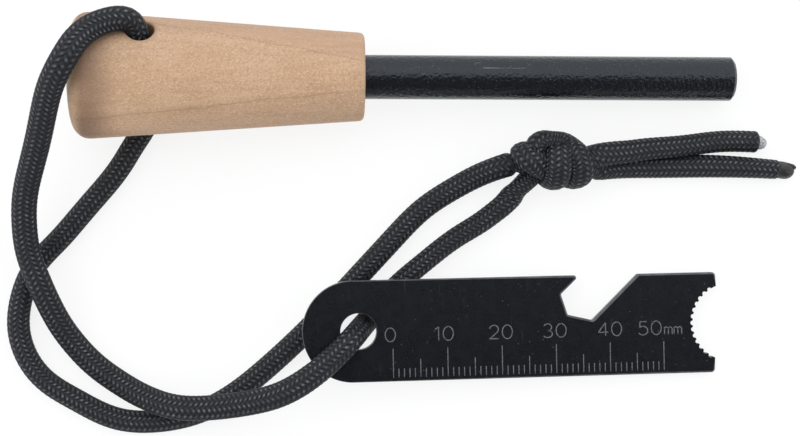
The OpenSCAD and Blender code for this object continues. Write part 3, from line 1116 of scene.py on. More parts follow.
@dataclass
class Knot:
    """Overhand knot in the doubled cord: the outer strand arches over the inner one.

    The points are given round the knot's middle and then eased apart, so that no strands share room.
    """

    middle: Point = (27.2, 7.1, 5.2)
    outer: tuple[Point, ...] = (
        (-12.2, -2.1, -2.2), (-8.7, -0.9, -1.2), (-5.7, 0.0, -0.9), (-4.2, 1.1, 0.3), (-3.7, 2.8, 1.2),
        (-3.0, 4.1, 1.4), (-1.75, 4.5, 1.1), (-0.1, 3.5, 0.6), (1.5, 2.4, 0.5), (3.1, 1.4, 1.0),
        (4.4, 0.0, 2.0), (4.8, -2.1, 2.0), (4.3, -3.6, 0.4), (3.2, -3.7, -1.3), (1.6, -2.6, -2.8),
        (-0.6, -0.6, -3.2), (-2.8, 1.6, -2.7), (-4.0, 2.7, -1.4), (-3.2, 2.3, -0.4), (-1.4, 1.2, 0.0),
        (1.2, 0.5, 0.3), (4.4, 0.5, 0.5), (7.0, 0.7, 0.6), (10.3, 1.2, 0.2), (13.3, 1.5, -0.4))
    inner: tuple[Point, ...] = (
        (-12.2, -10.6, -3.0), (-7.7, -7.0, -2.1), (-4.8, -4.2, -1.4), (-2.4, -1.4, -1.6), (-0.4, 0.2, -1.2),
        (0.5, 0.9, 0.4), (0.5, 1.2, 2.5), (0.5, 0.4, 3.5), (0.6, -1.4, 3.4), (0.4, -3.2, 2.4),
        (-0.1, -4.0, 0.5), (-1.2, -3.4, -1.9), (-3.0, -1.0, -3.1), (-4.2, 1.0, -2.4), (-4.2, 1.6, -0.5),
        (-4.2, 1.0, 1.4), (-3.7, -0.4, 2.3), (-2.4, -1.8, 1.7), (0.4, -2.1, 0.2), (4.0, -1.9, -0.6),
        (7.0, -1.7, -1.3), (10.3, -1.4, -2.3), (13.3, -1.2, -2.7))
    fine: int = 900
    count: int = 110
    spacing: float = 2.45
    kin_reach: float = 1.5
    rounds: int = 260
    passes: int = 2
    push: float = 1.6
    hold: float = 0.10
    smooth: float = 0.3
    floor: float = 1.75
    pinned: int = 6
    squeeze: float = 0.15
    squeezed: Span = (5.5, 9.5)

    def pushed(self, points: Array, pairs: Array) -> Array:
        """Move every two points that are nearer than the spacing apart, by half the lack each.

        Args:
            points: All points of both strands.
            pairs: Which two points may not be near each other.

        Returns:
            The moved points; a point with several neighbours takes the mean of its moves.
        """
        between = points[:, None] - points
        apart = np.sqrt((between**2).sum(2))
        i, j = np.nonzero(pairs & (apart < self.spacing))
        lack = unit(between[i, j]) * (0.5 * (self.spacing - apart[i, j]))[:, None]
        moved, hits = np.zeros_like(points), np.ones(len(points))
        for end, way in ((i, lack), (j, -lack)):
            np.add.at(moved, end, way)
            np.add.at(hits, end, 1)
        return points + self.push * moved / hits[:, None]

    def strands(self) -> Array:
        """Ease the two strands apart.

        Each round moves a point towards the mean of its neighbours, a little back to where it was placed, and
        apart from every point of another stretch that is nearer than the spacing.

        Returns:
            The outer and the inner strand, evenly spaced.
        """
        splines = [cubic_through(np.array(row), self.fine) for row in (self.outer, self.inner)]
        home = np.stack([respaced(spline, self.count) for spline in splines]) + np.array(self.middle)
        x = home.copy()
        strand, index = np.repeat([0, 1], self.count), np.tile(np.arange(self.count), 2)
        step = np.linalg.norm(np.diff(x, axis=1), axis=2).mean()
        near = np.abs(index[:, None] - index) < self.kin_reach * self.spacing / step
        pairs = np.triu(~((strand[:, None] == strand) & near), 1)
        ends = np.r_[: self.pinned, self.count - self.pinned : self.count]
        for _ in range(self.rounds):
            bend = np.zeros_like(x)
            bend[:, 1:-1] = 0.5 * (x[:, :-2] + x[:, 2:]) - x[:, 1:-1]
            flat = (x + self.smooth * bend + self.hold * (home - x)).reshape(-1, 3)
            for _ in range(self.passes):
                flat = self.pushed(flat, pairs)
            flat[:, 2] = np.maximum(flat[:, 2], self.floor)
            x = flat.reshape(home.shape)
            x[:, ends] = home[:, ends]
        share = 1.0 - smoothstep(*self.squeezed, np.abs(x[..., 0] - self.middle[0]))
        x[..., 1] -= self.squeeze * share * (x[..., 1] - self.middle[1])
        return x


@dataclass(frozen=True)
class Stretch:
    """A stretch of the cord: the points that it runs through and its width there, in millimetres."""

    points: Sequence[Point] | Array
    width: float


@dataclass
class BraidedCord:
    """One half of the cord: from the middle of the handle's eye to its own melted end."""

    name: str
    stretches: list[Stretch]
    mouth: Array
    knot: Knot
    nodes: tuple[str, ...]
    bend_start: Point
    bend_end: Point
    end_len: float = 0.9
    section: float = 3.55
    knot_section: float = 0.35
    thickest: float = 2.0
    lying_r: float = 2.0
    lying: Span = (2.2, 3.4)
    knot_width: float = 4.7
    knot_span: Spot = (19.4, 34.8)
    knot_fade: Spot = (1.5, 2.0)
    knot_aside: Span = (6.0, 8.5)
    columns: int = 12
    per_column: int = 6
    stitch: float = 0.97
    knot_stitches: float = 1.45
    per_stitch: int = 4
    relief: float = 0.11
    least_end: float = 0.02
    fine: int = 6000
    line_reach: int = 3
    width_reach: int = 18
    up_reach: int = 7
    knot_reach: int = 8
    height_reach: int = 2
    line: Array = field(init=False)
    length: float = field(init=False)

    def path(self) -> tuple[Array, Array]:
        """Evenly spaced middle line, a whole number of steps to a stitch, and the cord's width along it.

        Returns:
            Points and widths in millimetres.
        """
        given = np.concatenate([np.array(s.points, float) for s in self.stretches])
        widths = np.concatenate([np.full(len(s.points), s.width) for s in self.stretches])
        run = travelled(given)
        fine = cubic_through(given, self.fine)
        count = int(travelled(fine)[-1] / (self.stitch / self.per_stitch)) + 1
        wide = np.interp(np.linspace(0.0, run[-1], count), run, widths)
        return eased(respaced(fine, count), self.line_reach), eased(wide, self.width_reach)

    def in_knot(self, line: Array) -> Array:
        """How far each point lies in the knot, 0 to 1: a smooth window round the knot's middle.

        Args:
            line: The cord's middle line.

        Returns:
            A share for each point.
        """
        (low, high), (out, into) = self.knot_span, self.knot_fade
        x, aside = line[:, 0], np.abs(line[:, 1] - self.knot.middle[1])
        along = smoothstep(low - out, low + into, x) * (1.0 - smoothstep(high - into, high + out, x))
        return along * (1.0 - smoothstep(*self.knot_aside, aside))

    def braid(self, along: Array, around: Array) -> Array:
        """Height of the braid, 0 to 1, by the yarn rule of the braid's finish.

        Each yarn's height is the cosine of a quarter turn for each crossing, less the yarn's rounded side.

        Args:
            along: Stitches along the cord.
            around: Columns round it.

        Returns:
            Heights of the higher of the two yarns at each place.
        """
        hands = (around + along, around - along)
        yarns = []
        for own, other, phase in zip(hands, hands[::-1], YARN.phases):
            index = np.round(own)
            lift = 0.5 + 0.5 * np.cos((index + other - phase) * np.pi / 2)
            yarns.append(lift - YARN.side_drop * (2.0 * np.abs(own - index)) ** YARN.side_power)
        return np.clip(np.maximum(*yarns), 0, 1)

    def upright(self, line: Array, ahead: Array, inside: Array) -> Array:
        """Up is straight up along the runs and away from the knot's core inside the knot, square to the line.

        Args:
            line: The cord's middle line.
            ahead: Its direction.
            inside: How far each point lies in the knot.

        Returns:
            A direction for each point.
        """
        core = line - np.array(self.knot.middle)
        core[:, 0] = 0.0
        up = (1.0 - inside[:, None]) * UP + inside[:, None] * unit(core)
        up = eased(up - (up * ahead).sum(1, keepdims=True) * ahead, self.up_reach)
        return unit(up - (up * ahead).sum(1, keepdims=True) * ahead)

    def build(self) -> Piece:
        """Carry an oval with the braid's relief along the middle line.

        The half axes are grown by the relief and keep the section's area. The ends close as quarter rounds.

        Returns:
            The cord's mesh tube, which replaces its solids.
        """
        line, wide = self.path()
        ahead = unit(np.gradient(line, axis=0))
        inside = self.in_knot(line)
        up = self.upright(line, ahead, inside)
        half = 0.5 * eased(wide * (1.0 - inside) + self.knot_width * inside, self.knot_reach)
        thick = np.minimum((self.section + self.knot_section * inside) / half, self.thickest)
        sunk = (self.lying_r - thick) * (1.0 - smoothstep(*self.lying, line[:, 2])) * (1.0 - inside)
        line[:, 2] = eased(np.maximum(line[:, 2] - sunk, thick + self.relief), self.height_reach)
        run = travelled(line)
        along = np.cumsum(1.0 + (self.knot_stitches - 1.0) * inside) / self.per_stitch
        around = np.arange(self.columns * self.per_column + 1) / self.per_column
        grown = self.relief * self.braid(along[:, None], around[None, :-1])
        left = np.clip(np.minimum(run, run[-1] - run) / self.end_len, 0.0, 1.0)
        closing = np.sqrt(np.clip(1.0 - (1.0 - left) ** 2, self.least_end, 1.0))[:, None]
        a, b = (half[:, None] + grown) * closing, (thick[:, None] + grown) * closing
        surface = Surface()
        corners = np.stack(np.broadcast_arrays(along[:, None], around[None]), axis=-1)
        surface.add_tube(ovals(line, np.cross(up, ahead), up, a, b), corners)
        piece = surface.to_object(self.name)
        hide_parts(*self.nodes)
        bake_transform(piece)
        self.line, self.length = line, float(run[-1])
        return piece

    def declare(self, piece: Piece, tip: Piece) -> None:
        """Args:
            piece: This half of the cord; not used.
            tip: Its melted tip; not used.
        """
        tuple(self.mouth * MM)
        (self.line * MM).tolist()


@dataclass(frozen=True)
class Lump:
    """One lump of a melted end: where it starts and points, its length, radii and how deep it is buried."""

    at: Point
    ahead: Point
    length: float
    radius: float
    end_radius: float
    buried: float = 1.2


@dataclass
class MeltedTip:
    """A melted cord end: turned lumps with uneven sides."""

    name: str
    node: str
    slot: Slot
    finish: MeltFinish
    forms: tuple[Lump, ...]
    waves: tuple[tuple[int, float, float], ...] = ((2, 0.10, 0.4), (3, 0.08, 1.7), (5, 0.05, 0.9))
    twist: float = 3.1
    dome_from: float = 0.45
    dome_power: float = 2.4
    dome_least: float = 0.0004
    rows: int = 40
    sides: int = 48

    def rings(self, lump: Lump) -> Array:
        """The radius goes from radius to end_radius along the lump, closes as a dome, and waves round it.

        Args:
            lump: The lump.

        Returns:
            Points, rings by sides by three.
        """
        t = np.linspace(0.0, 1.0, self.rows)[:, None]
        turn = circle(self.sides)[None]
        closing = np.clip((t - self.dome_from) / (1.0 - self.dome_from), 0.0, 1.0) ** self.dome_power
        dome = np.sqrt(np.clip(1.0 - closing, self.dome_least, 1.0))
        waves = sum(size * np.sin(k * turn + phase + self.twist * t) for k, size, phase in self.waves)
        r = (lump.radius + (lump.end_radius - lump.radius) * t) * dome * (1.0 + waves * np.sqrt(t))
        ahead = unit(np.array(lump.ahead))
        up = unit(UP - ahead[2] * ahead)
        line = np.array(lump.at) + (-lump.buried + (lump.length + lump.buried) * t) * ahead
        return ovals(line, np.cross(up, ahead)[None], up[None], r, r)

    def build(self) -> Piece:
        """Put the lumps together.

        Returns:
            The melted end, which replaces its solid.
        """
        surface = Surface()
        for lump in self.forms:
            surface.add_tube(self.rings(lump))
        return surface.to_rigid(self.name, Body.LANYARD, self.slot, self.node)


@dataclass
class Lanyard:
    """The whole cord: two halves from the handle's eye, the knot in both, and their melted ends."""

    threading: Threading = Threading()
    route: CordRoute = CordRoute()
    knot: Knot = field(default_factory=Knot)

    def halves(self) -> tuple[BraidedCord, BraidedCord]:
        """The front and the rear half with their widths as the photograph shows them.

        Returns:
            Front half, over the handle and through the striker; rear half, under the striker.
        """
        t, r = self.threading, self.route
        outer, inner = self.knot.strands()
        over = [
            Stretch(t.on_eye(0.0, t.eye_step), 3.9), Stretch(t.leaning(), 3.7),
            Stretch(r.front_bight[:2], 4.1), Stretch(r.front_bight[2:], 4.6), Stretch(r.front_run, 4.45),
            Stretch(t.through_hole(), 4.1), Stretch(r.striker_run, 3.65), Stretch(inner, 3.9),
            Stretch(r.tail_lower[:2], 4.2), Stretch(r.tail_lower[2:3], 3.85), Stretch(r.tail_lower[3:], 3.15)]
        under = [
            Stretch(t.on_eye(0.0, -t.eye_step), 4.0), Stretch(t.on_eye(-t.eye_reach), 4.1),
            Stretch(r.rear_bight[::-1], 4.0), Stretch(r.rear_run[::-1], 4.0), Stretch(outer, 4.2),
            Stretch(r.tail_upper, 3.8)]
        front = BraidedCord(
            "cord_front", over, t.on_eye(t.eye_reach)[0], self.knot,
            ("cord_front_bight", "cord_front_run", "cord_striker_run", "tail_lower", "cord_eye"),
            bend_start=(-0.0607, 0.0206, 0.0236), bend_end=(-0.0607, 0.0075, 0.0105), end_len=1.3,
        )
        rear = BraidedCord(
            "cord_rear", under, t.on_eye(-t.eye_reach)[0], self.knot,
            ("cord_rear_bight", "cord_rear_run", "tail_upper", "knot"),
            bend_start=(-0.0474, 0.0128, 0.002), bend_end=(-0.0438, 0.0008, 0.002),
        )
        return front, rear

    def tips(self) -> tuple[MeltedTip, MeltedTip]:
        """The melted sheath on the lower tail and the melted core on the upper one.

        Returns:
            The front half's tip and the rear half's.
        """
        cap = Lump(
            (70.2, 5.25, 1.75), (1.0, -0.10, 0.0), length=1.6, radius=1.55, end_radius=1.35, buried=2.0)
        curl = Lump(
            (71.2, 6.15, 1.85), (1.0, -0.50, -0.05), length=1.05, radius=0.22, end_radius=0.55, buried=0.8)
        core = Lump((65.6, 10.4, 1.9), (7.0, 0.0, -0.3), length=1.1, radius=1.3, end_radius=1.0)
        black = MeltFinish(
            "melted_sheath", (0.009, 0.009, 0.010), (0.024, 0.023, 0.022), rough=(0.3, 0.7, 0.30, 0.48))
        white = MeltFinish(
            "melted_core", (0.47, 0.47, 0.475), (0.22, 0.22, 0.225), rough=(0.3, 0.7, 0.30, 0.5))
        return (
            MeltedTip("tail_melt", "tail_melt_tip", Slot.MELT, black, (cap, curl)),
            MeltedTip("tail_core", "tail_core_tip", Slot.CORE, white, (core,)),
        )

    def build(self) -> list[Piece]:
        """Build and dress both halves and their tips.

        Returns:
            The pieces.
        """
        pieces = []
        braid = BraidFinish().material()
        for half, tip in zip(self.halves(), self.tips()):
            cord, lump = half.build(), tip.build()
            half.declare(cord, lump)
            dress(cord, braid)
            dress(lump, tip.finish.material())
            pieces += [cord, lump]
        return pieces


@dataclass(frozen=True)
class Arc:
    """Part of an ellipse between two angles in degrees, in a glyph's box."""

    middle: Spot
    half: Spot
    start: float
    stop: float
    count: int = 28

    def points(self) -> Array:
        """Middle + half axes times the cosine and sine of the angle."""
        t = np.radians(np.linspace(self.start, self.stop, self.count))
        return np.array(self.middle) + np.array(self.half) * np.stack([np.cos(t), np.sin(t)], axis=1)


@dataclass(frozen=True)
class Bar:
    """Straight stroke between two places in a glyph's box."""

    start: Spot
    stop: Spot
    count: int = 6

    def points(self) -> Array:
        """Points evenly between the two."""
        return np.linspace(self.start, self.stop, self.count)


@dataclass(frozen=True)
class Glyph:
    """A digit or letter in a box one wide and one high: its width, and strokes of bars and arcs in a row."""

    width: float
    strokes: tuple[tuple[Arc | Bar, ...], ...]


GLYPHS = {
    "0": Glyph(0.74, ((Arc((0.5, 0.5), (0.5, 0.5), 90, 450, 48),),)),
    "1": Glyph(0.34, ((Bar((0.78, 0.0), (0.78, 1.0)),), (Bar((0.78, 0.99), (0.0, 0.80)),))),
    "2": Glyph(0.70, ((Arc((0.5, 0.70), (0.46, 0.30), 168, -32), Bar((0.80, 0.46), (0.04, 0.02))),
                      (Bar((0.0, 0.02), (1.0, 0.02)),))),
    "3": Glyph(0.66, ((Arc((0.44, 0.745), (0.44, 0.255), 155, -88),),
                      (Arc((0.44, 0.26), (0.52, 0.26), 90, -152),))),
    "4": Glyph(0.74, ((Bar((0.74, 0.0), (0.74, 1.0)),), (Bar((0.74, 0.99), (0.02, 0.29)),),
                      (Bar((0.0, 0.28), (1.0, 0.28)),))),
    "5": Glyph(0.66, ((Bar((0.90, 0.98), (0.14, 0.98)),), (Bar((0.14, 0.99), (0.08, 0.53)),),
                      (Arc((0.44, 0.32), (0.54, 0.32), 132, -148),))),
    "m": Glyph(0.92, ((Bar((0.0, 0.0), (0.0, 0.98)),),
                      *((Arc((x - 0.25, 0.68), (0.25, 0.30), 180, 0, 16), Bar((x, 0.6), (x, 0.0)))
                        for x in (0.5, 1.0)))),
}


@dataclass
class Striker:
    """Flat steel striker: round end with a hole, hooked notch, hollow toothed end, and a millimetre scale."""

    origin: Point = (-8.7, -24.1211, 5.0737)
    tilt_deg: float = 4.42224
    yaw_deg: float = 1.2
    thick: float = 2.0
    half_w: float = 9.25
    end_x: float = -10.2
    tip_x: float = 65.8
    upper_tip_x: float = 66.2
    hole_r: float = 3.3
    hollow_x: float = 68.9
    hollow_r: float = 7.2
    gullet_r: float = 0.41
    gullet_step_deg: float = 9.5493
    gullets: int = 6
    corner: float = 0.7
    notch: tuple[tuple[float, float, float], ...] = (
        (51.7, 9.25, 0.5), (43.1, 0.95, 0.45), (38.5, 2.05, 0.45), (37.3, 5.85, 0.45), (40.9, 9.25, 0.45))
    edge: float = 0.40
    round_edge: float = 0.12
    edge_span: Span = (-3.0, 5.0)
    tooth_edge: float = 0.02
    edge_steps: int = 5
    end_points: int = 90
    hollow_points: int = 420
    corner_points: int = 9
    hole_points: int = 96
    least_step: float = 1e-4
    zero_x: float = 6.2
    last_mm: int = 50
    line_tall: tuple[tuple[int, float], ...] = ((10, 5.3), (5, 3.3), (1, 1.65))
    line_from: float = -8.55
    line_w: float = 0.17
    line_points: int = 4
    mark_rise: float = 0.012
    mark_sunk: float = 0.05
    words: tuple[tuple[str, float, float], ...] = (
        ("0", 5.75, 1.0), ("10", 15.6, 1.0), ("20", 26.0, 1.0), ("30", 36.0, 1.0), ("40", 46.2, 1.0),
        ("50", 53.7, 1.0), ("mm", 58.0, 0.55))
    digit_h: float = 2.5
    digit_from: float = -2.0
    digit_gap: float = 0.26
    least_wide: float = 0.62
    least_gap: float = 0.45
    stroke_w: float = 0.19

    def to_row(self, local: Array) -> Array:
        """Turn plate points by the tilt about Y and the yaw about Z, and move them to the striker's place.

        Args:
            local: Points in the plate's own frame.

        Returns:
            Points in the row frame.
        """
        t, y = math.radians(self.tilt_deg), math.radians(self.yaw_deg)
        tilt = np.array([[math.cos(t), 0, math.sin(t)], [0, 1, 0], [-math.sin(t), 0, math.cos(t)]])
        yaw = np.array([[math.cos(y), -math.sin(y), 0], [math.sin(y), math.cos(y), 0], [0, 0, 1]])
        return local @ (yaw @ tilt).T + np.array(self.origin)

    def hollow(self) -> Array:
        """The toothed end from its lower to its upper tip.

        In polar form about the hollow's middle the wall lies at the hollow's radius, or further out where a
        gullet's circle reaches: R cos(d) + sqrt(r^2 - (R sin(d))^2) at an angle d from that gullet.

        Returns:
            Points in the plate's plane.
        """
        low, high = (math.acos((self.hollow_x - x) / self.hollow_r) for x in (self.tip_x, self.upper_tip_x))
        angle = np.linspace(math.pi + low, math.pi - high, self.hollow_points)
        d = angle[:, None] - math.pi
        d = d - np.radians(self.gullet_step_deg) * np.arange(-self.gullets, self.gullets + 1)
        reach = self.gullet_r**2 - (self.hollow_r * np.sin(d)) ** 2
        out = np.where(reach > 0, self.hollow_r * np.cos(d) + np.sqrt(np.clip(reach, 0, None)), 0.0).max(1)
        r = np.maximum(self.hollow_r, out)
        return np.stack([self.hollow_x + r * np.cos(angle), r * np.sin(angle)], axis=1)

    def outline(self) -> tuple[Array, Array]:
        """The plate's outline, counted against the clock, and the rounding of its edge at each point.

        Returns:
            Points in the plate's plane, and edge sizes.
        """
        turn = np.linspace(math.pi / 2, 1.5 * math.pi, self.end_points)
        left = self.half_w * np.stack([np.cos(turn), np.sin(turn)], axis=1)
        left[:, 0] += self.end_x + self.half_w
        hollow = self.hollow()
        upper = ((self.upper_tip_x, self.half_w, self.corner), *self.notch)
        stops = [hollow[-1], *(corner[:2] for corner in upper), left[0]]
        tip = self.rounded(left[-1], (self.tip_x, -self.half_w), hollow[0], self.corner)
        rest = [self.rounded(*stops[k : k + 3], corner[2]) for k, corner in enumerate(upper)]
        parts = [left, tip, hollow, *rest]
        points = np.concatenate(parts)
        sizes = self.round_edge + (self.edge - self.round_edge) * smoothstep(*self.edge_span, points[:, 0])
        sizes[np.concatenate([np.full(len(part), part is hollow) for part in parts])] = self.tooth_edge
        keep = np.linalg.norm(points - np.roll(points, 1, 0), axis=1) > self.least_step
        return points[keep], sizes[keep]

    def rounded(self, before: Spot, at: Spot, after: Spot, r: float) -> Array:
        """Arc of radius r that joins the two sides of a corner.

        It starts and stops r / tan(half the angle) from the corner.

        Args:
            before: A point on the side that comes in.
            at: The corner.
            after: A point on the side that goes out.
            r: Radius of the arc.

        Returns:
            Points of the arc.
        """
        at = np.array(at, float)
        a, b = unit(np.array(before) - at), unit(np.array(after) - at)
        half = 0.5 * math.acos(float(np.clip(a @ b, -1.0, 1.0)))
        middle = at + unit(a + b) * r / math.sin(half)
        start, stop = (at + side * r / math.tan(half) - middle for side in (a, b))
        share = np.linspace(0.0, 1.0, self.corner_points)[:, None]
        return middle + r * unit((1 - share) * start + share * stop)

    def wall(self, points: Array, sizes: Array, inwards: int) -> tuple[Array, Array]:
        """Carry the edge profile round a closed line in the plate's plane.

        The profile goes from the underside to the top: a quarter round of the edge's size, the upright wall,
        and a quarter round. Its points move along the line's own normal by the profile's depth.

        Args:
            points: The closed line.
            sizes: Size of the rounding at each point.
            inwards: 1 if metal lies to the left of the line, -1 if to the right.

        Returns:
            Profile rows by line points by three, and the edge mark of each, 1 on the roundings.
        """
        way = unit(np.roll(points, -1, 0) - np.roll(points, 1, 0))
        normal = inwards * np.stack([-way[:, 1], way[:, 0]], axis=1)
        t = np.linspace(0.0, math.pi / 2, self.edge_steps)[:, None]
        depth, rise = 1.0 - np.sin(t), 1.0 - np.cos(t)
        height = np.concatenate([rise * sizes, self.thick - rise[::-1] * sizes])
        shift = np.concatenate([depth, depth[::-1]]) * sizes
        flat = points[None] + shift[..., None] * normal[None]
        mark = np.concatenate([np.sin(2 * t), np.sin(2 * t)[::-1]]) ** 0.5 * np.ones(len(points))
        return np.concatenate([flat, height[..., None]], axis=2), mark

    def plate(self) -> Piece:
        """Walls round the outline and the hole, and flat faces between them.

        Returns:
            The plate, which replaces the striker's solid.
        """
        turn = circle(self.hole_points)
        hole = self.hole_r * np.stack([np.cos(turn), np.sin(turn)], axis=1)
        hole_sizes = np.full(len(hole), self.round_edge)
        surface, walls = Surface(), []
        for line, sizes, inwards in ((*self.outline(), 1), (hole, hole_sizes, -1)):
            rows, mark = self.wall(line, sizes, inwards)
            placed = self.to_row(rows)
            placed[..., 2] = np.maximum(placed[..., 2], 0.0)
            first = surface.add(placed)
            faces = tube_faces(*mark.shape)[:, ::inwards]
            # edge mark of each corner, which the finish uses for edge wear and a painted highlight
            worn_and_highlight = mark.reshape(-1)[faces]
            surface.add_faces(first + faces, np.stack([worn_and_highlight, np.zeros_like(worn_and_highlight)], axis=-1))
            walls.append((rows, first + np.arange(mark.size).reshape(mark.shape)))
        for row, turned in ((-1, False), (0, True)):
            loops = [rows[row] for rows, _ in walls]
            numbers = np.concatenate([number[row] for _, number in walls])
            triangles = np.array(tessellate_polygon([loop.tolist() for loop in loops]))
            p = np.concatenate(loops)[triangles][..., :2]
            against_clock = np.linalg.det(p[:, 1:] - p[:, :1]).sum() > 0
            step = 1 if against_clock != turned else -1
            surface.add_faces(numbers[triangles[:, ::step]], flat=True)
        return surface.to_rigid("striker_plate", Body.STRIKER, Slot.STRIKER, "striker")

    def stroke(self, surface: Surface, points: Array, width: float) -> None:
        """Append a flat ribbon along a line on the plate's top.

        A ring has the ribbon's four corners: half the width to each side, a little below and above the top.

        Args:
            surface: What it is added to.
            points: The line in the plate's plane.
            width: Width of the ribbon.
        """
        way = unit(np.gradient(points, axis=0))
        side = np.stack([-way[:, 1], way[:, 0]], axis=1) * width / 2
        low, high = self.thick - self.mark_sunk, self.thick + self.mark_rise
        corners = ((1, low), (1, high), (-1, high), (-1, low))
        rings = [np.column_stack([points + s * side, np.full(len(points), z)]) for s, z in corners]
        surface.add_tube(self.to_row(np.stack(rings, axis=1)))

    def word(self, surface: Surface, text: str, middle: float, size: float) -> None:
        """Append the strokes of a short word, centred on a place along the plate.

        Args:
            surface: What they are added to.
            text: Letters that have a glyph.
            middle: Place of the word's middle along the plate.
            size: Share of the digits' height.
        """
        widths = [GLYPHS[letter].width * self.digit_h * max(size, self.least_wide) for letter in text]
        gap = self.digit_gap * self.digit_h * max(size, self.least_gap)
        at = middle - (sum(widths) + gap * (len(text) - 1)) / 2
        for letter, width in zip(text, widths):
            for stroke in GLYPHS[letter].strokes:
                line = np.concatenate([part.points() for part in stroke])
                box = np.array([width, self.digit_h * size])
                self.stroke(surface, np.array([at, self.digit_from]) + line * box, self.stroke_w)
            at += width + gap

    def marks(self) -> Piece:
        """The lines of the scale, its numbers and its unit, as ribbons on the plate.

        Returns:
            The marks as one piece.
        """
        surface = Surface()
        for mm in range(self.last_mm + 1):
            tall = next(tall for step, tall in self.line_tall if mm % step == 0)
            y = self.line_from + np.linspace(0, tall, self.line_points)
            self.stroke(surface, np.stack([np.full_like(y, self.zero_x + mm), y], axis=1), self.line_w)
        for text, middle, size in self.words:
            self.word(surface, text, middle, size)
        return surface.to_rigid("striker_scale", Body.STRIKER, Slot.STRIKER)

    def build(self) -> list[Piece]:
        """Build and dress the plate and its marks.

        Returns:
            The plate and the marks.
        """
        plate, marks = self.plate(), self.marks()
        dress(plate, PlateFinish().material())
        dress(marks, MarkFinish().material())
        return [plate, marks]


